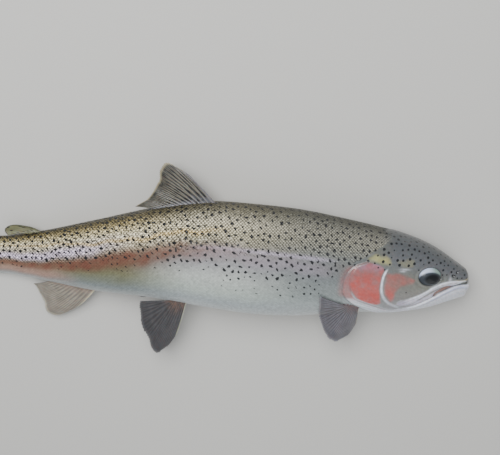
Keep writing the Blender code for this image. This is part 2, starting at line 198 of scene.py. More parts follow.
@dataclass
class TroutForm:
    """The outer shape of the straight fish and the pose that it lies in.

    The stations give the distance behind the snout; back, belly and widest level; half
    width; and how square the section is above and below its widest level.
    """

    snout_x: float = 300.1
    midline_y: float = -0.1
    nose_radius: float = 5.0
    snout_pinch: float = 0.34
    pinch_end: float = 14.0
    end: float = 532.0
    turn_steps: int = 300
    stations: Points = (
        (0, 13.0, -12.6, 1.0, 9.8, 0.80, 0.80),
        (15, 22.0, -17.4, 1.5, 15.5, 0.76, 0.92),
        (40, 35.5, -29.0, 0.0, 22.5, 0.72, 1.02),
        (70, 44.8, -37.0, -1.0, 28.8, 0.74, 1.05),
        (100, 49.8, -40.8, 1.0, 31.8, 0.80, 1.00),
        (130, 54.0, -45.2, 3.0, 32.8, 0.88, 0.95),
        (170, 58.4, -53.2, 4.0, 33.6, 0.92, 0.92),
        (215, 59.6, -56.0, 4.0, 34.0, 0.94, 0.90),
        (260, 59.0, -53.0, 4.0, 33.0, 0.95, 0.90),
        (320, 49.5, -45.5, 3.0, 28.2, 0.96, 0.92),
        (380, 36.2, -39.8, -1.0, 20.0, 0.97, 0.96),
        (430, 26.0, -29.6, -1.5, 13.5, 1.00, 1.00),
        (470, 20.5, -21.8, -0.5, 9.5, 1.00, 1.00),
        (505, 22.0, -22.0, 0.0, 5.6, 1.00, 1.00),
        (516, 24.0, -24.0, 0.0, 3.2, 0.95, 0.95),
        (532, 29.0, -29.0, 0.0, 0.9, 0.90, 0.90),
    )
    arch: Curve = Curve(
        ((0, -3.2), (80, 1.6), (150, 5.8), (220, 8.8), (270, 9.0), (320, 5.9), (370, 0.2),
         (430, -7.2), (516, -17.0), (600, -25.0))
    )
    height: Curve = Curve(
        ((0, 27.0), (60, 29.0), (100, 30.3), (130, 31.3), (170, 32.1), (215, 32.5),
         (260, 31.5), (320, 26.7), (380, 18.5), (430, 12.0), (470, 8.0), (516, 3.4),
         (560, 1.1), (600, 0.5))
    )

    def __post_init__(self) -> None:
        """Makes the smooth functions and the table that turns g into a turn."""
        rows = self.stations
        curves = [Curve([(row[0], row[k]) for row in rows]) for k in range(1, 7)]
        self.back, self.belly, self.widest, self.half_width, self.above, self.below = curves
        self.table_s = np.concatenate([np.linspace(0, 6, 41)[:-1], np.linspace(6, self.end, 264)])
        turns = np.linspace(0, math.pi, 361)
        table, girths = [], []
        for s in self.table_s:
            u, v = self.section(np.full(turns.shape, s), turns)
            arc = np.concatenate([[0.0], np.cumsum(np.hypot(np.diff(u), np.diff(v)))])
            # The arc has to keep rising, also at the snout, where the section is a point
            arc += np.arange(len(arc)) * 1e-9
            girths.append(arc[-1])
            table.append(np.interp(np.linspace(0, arc[-1], self.turn_steps + 1), arc, turns))
        self.turns = np.array(table)
        self.girths = np.array(girths)

    def section(self, s: Array, turn: Array) -> tuple[Array, Array]:
        """The outline of the section at s.

        Args:
            s: Distances behind the snout.
            turn: Angles from 0 at the back to pi at the belly.

        Returns:
            Heights towards the back and distances from the midline plane.
        """
        opened = np.sqrt(np.clip(1 - np.clip(1 - s / self.nose_radius, 0, 1) ** 2, 0, 1))
        middle = self.widest(s)
        upper = np.cos(turn) > 0
        reach = np.where(upper, self.back(s) - middle, middle - self.belly(s)) * opened
        square = np.where(upper, self.above(s), self.below(s))
        across = np.clip(np.sin(turn), 0, 1) ** square * opened
        across *= 1 - self.snout_pinch * np.clip(1 - s / self.pinch_end, 0, 1) ** 1.6
        return middle + reach * np.cos(turn), across * self.half_width(s)

    def half_girth(self, s: Array) -> Array:
        """The length of skin from the back's midline to the belly's."""
        return np.interp(s, self.table_s, self.girths)

    def turn_at(self, s: Array, g: Array) -> Array:
        """The turn of a place, read from the table between its four neighbours.

        Args:
            s: Distances behind the snout.
            g: Places round the body, of either flank.

        Returns:
            Angles from 0 at the back to pi at the belly.
        """
        row = np.interp(s, self.table_s, np.arange(len(self.table_s)))
        low = np.clip(row.astype(int), 0, len(self.table_s) - 2)
        across = np.clip(np.abs(g), 0, 1) * self.turn_steps
        left = np.clip(across.astype(int), 0, self.turn_steps - 1)
        a, b = row - low, across - left
        upper = self.turns[low, left] * (1 - b) + self.turns[low, left + 1] * b
        lower = self.turns[low + 1, left] * (1 - b) + self.turns[low + 1, left + 1] * b
        return upper * (1 - a) + lower * a

    def straight(self, s: Array, g: Array) -> tuple[Array, Array]:
        """Places on the skin of the straight fish.

        Args:
            s: Distances behind the snout.
            g: Places round the body, where past 1 is the other flank.

        Returns:
            Their u and v.
        """
        g = (g + 1) % 2 - 1
        u, v = self.section(s, self.turn_at(s, g))
        return u, v * np.where(g < 0, -1, 1)

    def posed(self, s: Array, u: Array, v: Array) -> Array:
        """Points of the straight fish in the resting pose, in millimetres, as rows."""
        x = self.snout_x - s
        return np.stack([x, u + self.arch(s) + self.midline_y, v + self.height(s)], axis=-1)

    def skin_point(self, s: Array, g: Array) -> Array:
        """Points on the skin in the resting pose."""
        return self.posed(s, *self.straight(s, g))

    def directions(self, s: Array, g: Array, step: float, turn: float) -> tuple[Array, Array]:
        """The ways that the skin runs at each place, not yet of unit length.

        Args:
            s: Distances behind the snout.
            g: Places round the body.
            step: How far to each side the skin is felt along the fish, in millimetres.
            turn: How far to each side it is felt round the body, as a part of g.

        Returns:
            Rows that point along the fish, and rows that point round it.
        """
        along = self.skin_point(s + step, g) - self.skin_point(np.maximum(s - step, 0.02), g)
        return along, self.skin_point(s, g + turn) - self.skin_point(s, g - turn)

    def facing(self, s: Array, g: Array) -> Array:
        """The way the skin faces at each place, as unit rows."""
        out = np.cross(*self.directions(np.clip(s, 0.15, self.end - 0.6), g, 0.5, 0.006))
        return out / np.linalg.norm(out, axis=-1, keepdims=True)

    def g_at(self, s: float, u: float) -> float:
        """The g on the right flank of one place.

        Args:
            s: Its distance behind the snout.
            u: Its height towards the back.

        Returns:
            The place round the body.
        """
        g = np.linspace(0, 1, 601)
        heights, _ = self.straight(np.full(g.shape, s), g)
        return float(np.interp(-u, -heights, g))

    def flank(self, s: Array, u: Array) -> Array:
        """How far the flank stands out from the midline plane.

        Args:
            s: Distances behind the snout.
            u: Heights towards the back.

        Returns:
            The distances, all positive.
        """
        middle = self.widest(s)
        upper = u > middle
        reach = np.where(upper, self.back(s) - middle, middle - self.belly(s))
        square = np.where(upper, self.above(s), self.below(s))
        level = np.clip(np.abs(u - middle) / reach, 0, 1)
        return self.half_width(s) * (1 - level * level) ** (square / 2)


# ---- small helpers


def linear(code: str) -> tuple[float, float, float, float]:
    """Turns a hex colour into the numbers that a shader takes.

    Args:
        code: An sRGB hex colour such as "8a7f73".

    Returns:
        The colour as linear RGBA.
    """
    parts = [int(code[k : k + 2], 16) / 255 for k in (0, 2, 4)]
    r, g, b = ((c / 12.92) if c <= 0.04045 else ((c + 0.055) / 1.055) ** 2.4 for c in parts)
    return r, g, b, 1.0


def add(
    tree: Tree,
    kind: str,
    values: dict | None = None,
    links: dict | None = None,
    stops: Iterable[tuple[float, str]] = (),
    **settings: object,
) -> bpy.types.Node:
    """Adds one shader node.

    Args:
        tree: The material's node tree.
        kind: The node's type without "ShaderNode".
        values: Input name or number to its value.
        links: Input name or number to the output, or the node by its first, that feeds it.
        stops: (place, hex colour) pairs of a colour ramp.
        **settings: The node's own properties.

    Returns:
        The node.
    """
    made = tree.nodes.new("ShaderNode" + kind)
    for name, value in settings.items():
        setattr(made, name, value)
    for key, value in (values or {}).items():
        made.inputs[key].default_value = value
    for key, source in (links or {}).items():
        first = source.outputs[0] if isinstance(source, bpy.types.Node) else source
        tree.links.new(first, made.inputs[key])
    for k, (place, code) in enumerate(stops):
        elements = made.color_ramp.elements
        element = elements[k] if k < 2 else elements.new(place)
        element.position = place
        element.color = linear(code)
    return made


def lay_over(tree: Tree, colour: Socket | str, layers: Iterable[tuple[Source, str]]) -> Socket:
    """Lays colours over a first one, each where its mask says.

    Args:
        tree: The material's node tree.
        colour: The first colour, as an output or as a hex colour.
        layers: (mask, hex colour) pairs, from the lowest to the topmost.

    Returns:
        The mixed colour.
    """
    for mask, code in layers:
        values, links = {7: linear(code)}, {0: mask}
        if isinstance(colour, str):
            values[6] = linear(colour)
        else:
            links[6] = colour
        colour = add(tree, "Mix", values, links, data_type="RGBA").outputs[2]
    return colour


def new_material(
    name: str, values: dict[str, float]
) -> tuple[bpy.types.Material, Tree, bpy.types.Node]:
    """Makes a material.

    Args:
        name: Its name.
        values: Input name of the Principled shader to its value.

    Returns:
        The material, its node tree and its Principled shader.
    """
    made = bpy.data.materials.new(name)
    made.use_nodes = True
    shader = made.node_tree.nodes["Principled BSDF"]
    for key, value in values.items():
        shader.inputs[key].default_value = value
    return made, made.node_tree, shader


def set_points(mesh: bpy.types.Mesh, points: Array) -> None:
    """Moves a mesh's vertices to points given in millimetres."""
    mesh.vertices.foreach_set("co", (points * MM).astype(np.float32).ravel())
    mesh.update()


def get_points(mesh: bpy.types.Mesh) -> Array:
    """Reads a mesh's vertices.

    Args:
        mesh: The mesh.

    Returns:
        Their places as rows, in the mesh's own units.
    """
    flat = np.empty(len(mesh.vertices) * 3, np.float32)
    mesh.vertices.foreach_get("co", flat)
    return flat.reshape(-1, 3).astype(float)


def set_attribute(mesh: bpy.types.Mesh, name: str, values: Array) -> None:
    """Stores three or four numbers for each vertex.

    Args:
        mesh: The mesh.
        name: The attribute's name.
        values: One row for each vertex.
    """
    kind, key = {3: ("FLOAT_VECTOR", "vector"), 4: ("FLOAT_COLOR", "color")}[values.shape[1]]
    made = mesh.attributes.new(name, kind, "POINT")
    made.data.foreach_set(key, values.astype(np.float32).ravel())


def face_outwards(mesh: bpy.types.Mesh) -> None:
    """Turns a closed mesh's faces outwards where they point in.

    Args:
        mesh: The mesh.
    """
    bm = bmesh.new()
    bm.from_mesh(mesh)
    if bm.calc_volume(signed=True) < 0:
        bmesh.ops.reverse_faces(bm, faces=bm.faces[:])
        bm.to_mesh(mesh)
    bm.free()


def show(name: str, data: bpy.types.ID) -> bpy.types.Object:
    """Puts a mesh, a lamp or a camera into the scene.

    Args:
        name: The object's name.
        data: What it shows.

    Returns:
        The object, at the origin.
    """
    made = bpy.data.objects.new(name, data)
    bpy.context.scene.collection.objects.link(made)
    return made


def to_object(name: str, bm: bmesh.types.BMesh) -> bpy.types.Object:
    """Makes a bmesh into an object, and frees it.

    Args:
        name: The object's name.
        bm: The bmesh.

    Returns:
        The object, at the origin.
    """
    mesh = bpy.data.meshes.new(name)
    bm.to_mesh(mesh)
    bm.free()
    return show(name, mesh)


def dress(
    piece: bpy.types.Object,
    material: bpy.types.Material,
    nodes: Sequence[str],
    smooth: bool = True,
) -> None:
    """Finishes a piece and ties it to the frame.

    Args:
        piece: The piece.
        material: Its only material.
        nodes: The CAD nodes that it stands for.
        smooth: Whether all its faces are shaded smooth.
    """
    piece.data.materials.clear()
    piece.data.materials.append(material)
    if smooth:
        piece.data.shade_smooth()
    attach(piece, "root")
    if nodes:
        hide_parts(*nodes)
    triangles = sum(len(face.vertices) - 2 for face in piece.data.polygons)
    LOG.info("%s: %d triangles", piece.name, triangles)


# ---- the head


@dataclass
class HeadRelief:
    """The bones, folds and openings of the head, as lines on its side in (s, u).

    A nostril is given by its s and u, its pit's size and depth, and its painted shade's size.
    """

    eye_place: tuple[float, float] = (43.7, 12.5)
    eye_half: tuple[float, float] = (12.7, 9.8)
    nostrils: Points = ((15.4, 15.9, 1.15, 1.5, 1.2), (19.8, 13.2, 1.3, 1.7, 1.4))
    lip: Line = drawn(
        (-3, 2.8), (0.5, 2.9), (6, 3.6), (12.5, 3.7), (17, 2.7), (23.5, -0.5), (31.2, -5),
        (40.5, -11.7), (49.6, -17.6), (57, -21.2), (64, -23.2),
    )
    maxilla: Line = drawn(
        (5, 6.6), (9, 6.5), (15.7, 4.4), (23.8, 3.9), (31.7, 2.0), (39.2, -2.0), (45.2, -6.6),
        (51.2, -11.6), (58.3, -17.4), (66, -20.9), (72, -21.2), (75, -17.6), (72.5, -14.2),
        (66.4, -12.2), (56.6, -8.9), (47.2, -3.6), (39.7, 1.7), (33, 4.9), (26.7, 7.2),
        (17.1, 8.0),
        closed=True,
    )
    membrane: Line = drawn(
        (18, 3.0), (24, 3.4), (29, 2.0), (34, -1.0), (37.6, -4.6), (38.8, -8.4), (37.6, -9.8),
        (31.2, -5.2), (23.5, -0.8),
        closed=True,
    )
    upper_lip: Line = drawn((-2, 8.2), (2.1, 8.0), (4.8, 7.4), (9.6, 7.3), (14, 7.9), (19, 8.6))
    preopercle: Line = drawn(
        (85.5, 21), (88.6, 16.5), (90.6, 11.1), (91.4, 1.7), (90.8, -4.9), (87.4, -12.3),
        (82.1, -17.8), (75.4, -21.4), (66, -23.6),
    )
    gill_edge: Line = drawn(
        (95, 27.5), (108, 24.5), (119, 19.2), (126, 11), (128.8, -1.4), (127.8, -12),
        (121, -20), (109, -27.5), (97, -32.6), (86, -36.6),
    )
    bone_edge: Line = drawn(
        (96, 24), (110, 22.6), (118.4, 17.2), (122.4, 9.3), (123, -0.3), (119.5, -9.6),
        (115.5, -15.1), (109, -17.9), (99.9, -20.9), (91.8, -23.7), (83, -26.6), (71.4, -28),
        (56, -26.6), (44, -25.2),
    )
    scale_border: Line = drawn(
        (76, 75), (80.7, 47), (86, 41.5), (95, 36), (105, 30.5), (114, 25.6), (122.7, 19.4),
        (128.5, 10), (131, -1.4), (130, -12), (124, -21.6), (112, -29.5), (99, -35), (84, -43),
        (78, -60),
    )
    opercle_red: Line = drawn(
        (110, 22.4), (118.2, 17.2), (122.2, 9), (122.8, -0.3), (119.2, -9.4), (110, -17),
        (97, -20.8), (89.6, -19.4), (91.6, -12.6), (92.8, -0.7), (92.2, 11), (91, 19),
        (99, 23.2),
        closed=True,
    )
    cheek_red: Line = drawn(
        (87.6, 14.2), (76.9, 15.4), (66, 12.6), (59, 8.6), (62, 5.4), (69.3, 2.8),
        (75.7, -2.7), (77.4, -11.2), (80.6, -16.4), (85.6, -10.4), (89, 0.7),
        closed=True,
    )
    gill_olive: Line = drawn((106, 28), (97, 30.5), (87, 28.8), (86, 25), (99, 24.6), closed=True)
    eye_olive: Line = drawn((78, 25.8), (70, 28.6), (61, 27), (62.5, 23), (71.4, 22), closed=True)

    def eye_radius(self, s: Array, u: Array) -> Array:
        """Distance from the eye's middle, where 1 is the eyeball's own half size."""
        (middle_s, middle_u), (half_s, half_u) = self.eye_place, self.eye_half
        return np.hypot((s - middle_s) / half_s, (u - middle_u) / half_u)

    @staticmethod
    def bone_step(
        edge: Array, fade: Array, turn: float, up: tuple[float, float], down: tuple[float, float]
    ) -> Array:
        """The edge of a bone: the skin rises to it in front and drops off behind it.

        Args:
            edge: Distances from the edge, negative in front of it.
            fade: How much of the step shows at each place, from 0 to 1.
            turn: Half the width of the drop.
            up: The height in front of the edge and how far forward it reaches.
            down: The depth behind the edge and how far back it reaches.

        Returns:
            The height of the skin.
        """
        front = ease(edge, turn, -turn)
        rise = up[0] * front * np.exp(-np.abs(edge) / up[1])
        return (rise - down[0] * (1 - front) * np.exp(-np.abs(edge) / down[1])) * fade

    def height(self, s: Array, u: Array, g: Array) -> Array:
        """How far the skin stands off the plain shape.

        Args:
            s: Distances behind the snout.
            u: Heights towards the back.
            g: Places round the body.

        Returns:
            Millimetres out along the skin's facing.
        """
        out = np.zeros(s.shape)
        # Upper jaw bone: a rounded strap that widens to a paddle behind the eye
        plate = self.maxilla.inside(s, u)
        strap = 0.95 * ease(plate, -0.3, 1.7) - 0.35 * bell(plate + 1.0, 0.8)
        out += strap * (1 - 0.65 * ease(s, 55, 72))
        # Folded skin between the jaws, set back
        out -= 1.1 * ease(self.membrane.inside(s, u), -0.2, 1.2)
        # Lower jaw: a rolled lip under the slit of the mouth
        gap, along = self.lip.near(s, u)
        fade = ease(along, 1.0, 0.86)
        out -= 1.9 * bell(gap, 0.62) * fade
        out += 0.75 * bell(gap + 2.0, 1.5) * fade - 0.3 * bell(gap + 5.2, 1.0) * fade
        out += 0.45 * bell(gap - 1.9, 1.1) * ease(s, 22, 12)
        out += 2.4 * bell(gap + 4.0, 3.6) * ease(s, 13, 2)
        # Eye: an opening with a soft raised rim, a furrow round it and a corner in front
        ring = self.eye_radius(s, u)
        out -= 7.5 * ease(ring, 0.93, 0.80)
        out += 0.35 * bell(ring - 0.985, 0.07) - 0.35 * bell(ring - 1.19, 0.075)
        out += 0.22 * bell(ring - 1.42, 0.1)
        out -= 0.7 * bell(np.hypot((s - 30.2) / 3.2, (u - 10.6) / 1.6), 0.8)
        # Nostrils: a front pit and a rear pit with a flap between them
        for pit_s, pit_u, size, depth, _ in self.nostrils:
            pit = np.hypot(s - pit_s, u - pit_u)
            out += 0.4 * bell(pit - size - 0.8, 0.8) - depth * bell(pit, size)
        # Cheek bone, raised to its curved rear edge
        edge, along = self.preopercle.near(s, u)
        fade = ease(along, 0.0, 0.1) * ease(along, 1.0, 0.9)
        out += self.bone_step(edge, fade, 0.35, (0.55, 5.5), (0.4, 2.2))
        # Bony gill cover, and the soft flap that runs round it to the gill opening
        bone, along = self.bone_edge.near(s, u)
        fade = ease(along, 0.0, 0.08) * ease(along, 1.0, 0.8)
        out += self.bone_step(bone, fade, 0.35, (0.6, 7), (0.25, 2.5))
        out += 0.35 * bell(bone + 0.7, 0.6) * fade
        edge, along = self.gill_edge.near(s, u)
        fade = ease(along, 0.0, 0.12) * ease(along, 1.0, 0.88)
        out += self.bone_step(edge, fade, 0.4, (0.4, 12), (0.9, 3.6))
        # Rays of the gill skin, under the bony cover
        under = ease(bone, 0.8, 2.2) * ease(edge, 0.2, -1.0) * ease(s, 58, 74) * ease(u, -18, -21)
        out += 0.28 * np.cos(2 * math.pi * bone / 3.1) * under
        # Throat: the two jaw bones stand out beside a shallow trough
        level = np.abs(g)
        trough = ease(s, 6, 20) * ease(s, 104, 84)
        out += trough * (0.7 * bell(level - 0.83, 0.06) - 1.4 * bell(level - 1.0, 0.07))
        # Skull: a low ridge along its middle and a dip in front of each eye
        out += 0.35 * bell(level, 0.06) * ease(s, 12, 30) * ease(s, 96, 70)
        out -= 0.5 * bell(np.hypot((s - 24) / 8, (u - 19) / 4), 0.9)
        return out


@dataclass
class HeadPaint:
    """Masks from 0 to 1 of the head's colours, painted shade and highlights at given places."""

    relief: HeadRelief
    s: Array
    u: Array

    def __post_init__(self) -> None:
        """Measures how each place lies to the head's lines."""
        relief, s, u = self.relief, self.s, self.u
        self.bone, self.bone_along = relief.bone_edge.near(s, u)
        self.gill, self.gill_along = relief.gill_edge.near(s, u)
        self.cheek, self.cheek_along = relief.preopercle.near(s, u)
        self.gap, self.lip_along = relief.lip.near(s, u)
        self.plate = relief.maxilla.inside(s, u)
        self.cover = relief.opercle_red.inside(s, u)
        self.ring = relief.eye_radius(s, u)
        self.wave = 0.5 * np.sin(s / 3.1 + u / 4.3) + 0.4 * np.sin(s / 1.7 - u / 2.3)
        # A painted blue highlight along the top of the lower lip, and the folded skin above the
        # slit
        self.blue = bell(self.gap + 2.4, 1.5) * ease(s, 3, 9) * ease(s, 52, 36)
        self.fold = ease(self.gap, -0.3, 0.5) * ease(self.gap, 6.0, 4.0) * ease(s, 14, 20)
        self.fold = self.fold * ease(s, 64, 52) * ease(self.plate, 0.4, -0.4)

    def rose(self) -> Array:
        """The red of the gill cover and the cheek.

        Returns:
            The mask.
        """
        s, u, along = self.s, self.u, self.bone_along
        low = ease(u, 20, -8)
        cover = ease(self.cover + 0.6 * self.wave, -0.8, 1.6) * (0.6 + 0.38 * low)
        cheek = ease(self.relief.cheek_red.inside(s, u) + self.wave, -1.6, 2.6)
        clouds = np.sin(s / 2.6 + 1.3 * np.sin(u / 3.7)) * np.cos(u / 3.1 - s / 7)
        flap = ease(self.bone, -0.6, 0.6) * ease(self.gill, 0.4, -0.6) * ease(u, -21, -16)
        return strongest(
            strongest(cover, cheek * (0.42 + 0.22 * low)) * (1 - 0.14 * np.clip(clouds, 0, 1)),
            0.48 * (flap * ease(s, 100, 112)) * (0.7 + 0.3 * low),
            0.3 * bell(self.gill - 1.5, 3.0) * ease(u, -18, -12) * ease(u, 22, 14),
            0.28 * bell(self.bone - 1.9, 0.8) * ease(along, 0.45, 0.52) * ease(s, 84, 92),
            0.6 * bell(self.bone, 1.6) * ease(along, 0.1, 0.2) * ease(along, 0.42, 0.36),
            0.22 * ease(self.plate, 0.6, 2.0),
            0.16 * self.fold,
        )

    def pale(self) -> Array:
        """The white of the lips, the jaw bone, the throat and the edges of the bones.

        Returns:
            The mask.
        """
        s, u, along = self.s, self.u, self.cheek_along
        bar = np.exp(-(((self.cheek - 0.1) / (0.85 + 0.75 * ease(along, 0.25, 0.85))) ** 4))
        dash = np.minimum(
            np.hypot((s - 70) / 5, (u - 19.5) / 0.9), np.hypot((s - 72) / 3, (u - 17.6) / 0.9)
        )
        lid = bell(self.ring - 1.0, 0.06) * ease(u, 7.5, 4.0)
        streaks = 0.12 * np.sin(1.9 * u + 1.1 * s)
        jaw_bone = 0.48 + 0.12 * ease(s, 26, 50) - 0.3 * ease(s, 56, 72) + streaks
        jaw = ease(self.gap, 0.2, -0.8) * ease(s, 100, 70) * (0.7 + 0.3 * bell(self.gap + 0.9, 0.6))
        throat = ease(self.bone, 0.3, 1.4) * ease(self.gill, 0.6, -0.6) * ease(s, 40, 60)
        behind = self.bone_along
        return strongest(
            bar * ease(along, 0.02, 0.14) * ease(along, 1.0, 0.86),
            0.95 * bell(self.bone, 0.75) * ease(behind, 0.36, 0.46) * ease(s, 50, 60),
            0.8 * bell(self.bone - 3.4, 1.0) * ease(behind, 0.44, 0.55) * ease(s, 60, 74),
            0.75 * bell(self.gill + 0.4, 0.7) * ease(self.gill_along, 0.62, 0.7) * ease(s, 96, 104),
            0.5 * bell(dash, 0.9),
            lid * 0.5 * ease(s, 46, 36),
            ease(self.plate, -0.4, 1.0) * jaw_bone,
            0.95 * bell(self.plate - 0.5, 0.7) * ease(s, 66, 56),
            jaw * (1 - 0.55 * self.blue),
            0.4 * self.fold,
            0.4 * bell(np.hypot((s - 22.5) / 1.6, (u - 9.2) / 3.0), 1.0),
            0.62 * (throat * ease(u, -14, -18)),
        )

    def tan(self) -> Array:
        """The brown of the folded skin and of the line under the gill cover.

        Returns:
            The mask.
        """
        line = 0.6 * bell(self.bone - 1.7, 0.6) * ease(self.bone_along, 0.42, 0.5)
        fold = ease(self.relief.membrane.inside(self.s, self.u), 0.0, 0.9)
        return strongest(fold, line * ease(self.s, 78, 88))

    def dark(self, rose: Array) -> Array:
        """Painted shade in the slits, nostrils and creases, and darker patches on the cheek.

        Args:
            rose: The mask of the red, which keeps the dark off it.

        Returns:
            The mask.
        """
        s, u = self.s, self.u
        cheek = bell(np.hypot((s - 70) / 15, (u + 4) / 11), 1.0) * ease(self.plate, 0.4, -0.6)
        line = 0.35 * bell(self.bone - 1.0, 0.5) * ease(self.bone_along, 0.4, 0.5)
        low = ease(-u - 14 + 0.1 * s, 0, 4) * ease(s, 60, 70) * ease(self.bone, 0, -2)
        return strongest(
            0.75 * bell(self.gap, 0.45) * ease(self.lip_along, 1.0, 0.88),
            0.55 * bell(np.hypot(s - 51.5, (u + 12.2) * 1.6), 2.0),
            0.2 * cheek,
            *(
                bell(np.hypot(s - pit_s, u - pit_u), size)
                for pit_s, pit_u, _, _, size in self.relief.nostrils
            ),
            0.45 * bell(self.ring - 0.95, 0.06),
            0.4 * bell(np.hypot((s - 30) / 2.4, (u - 9.8) / 1.1), 0.9),
            0.3 * bell(self.gill - 0.9, 0.8) * ease(self.gill_along, 0.06, 0.2),
            line * ease(s, 60, 70),
            0.25 * low * (1 - rose),
        )

    def tints(self, rose: Array) -> Array:
        """The fainter colours, with painted highlight and sheen among the lilac.

        Args:
            rose: The mask of the red, which carries the rust.

        Returns:
            Rows of (olive, lilac, gold, rust).
        """
        relief, s, u = self.relief, self.s, self.u
        olive = strongest(
            0.8 * ease(relief.gill_olive.inside(s, u) + 1.5 * self.wave, -2.4, 2.8),
            0.24 * ease(relief.eye_olive.inside(s, u) + self.wave, -2.0, 2.4),
        )
        # Lilac: painted sheen on the top of the gill cover and a painted highlight on the lower
        # lip, with the own lilac of the folded skin and jaw bone
        lilac = strongest(
            0.3 * ease(u, 13, 21) * ease(self.cover, -0.5, 1.5),
            0.9 * self.blue,
            0.35 * self.fold,
            0.5 * ease(self.plate, 0.8, 1.8) * ease(s, 30, 44),
        )
        gold = 0.8 * bell(relief.upper_lip.near(s, u)[0], 0.55) * ease(s, 20, 12)
        rust = 0.7 * bell(np.hypot((s - 98) / 17, (u + 10) / 7), 1.0)
        rust = rust + 0.5 * bell(np.hypot((s - 82) / 5, (u + 9) / 7), 1.0)
        return np.stack([olive, lilac, gold, rust * rose], axis=1)

    def rows(self) -> tuple[Array, Array]:
        """All the masks.

        Returns:
            Rows of (rose, pale, tan, painted shade), and rows of (olive, lilac, gold, rust).
        """
        rose = self.rose()
        paint = np.stack([rose, self.pale(), self.tan(), self.dark(rose)], axis=1)
        return paint, self.tints(rose)


# ---- colours


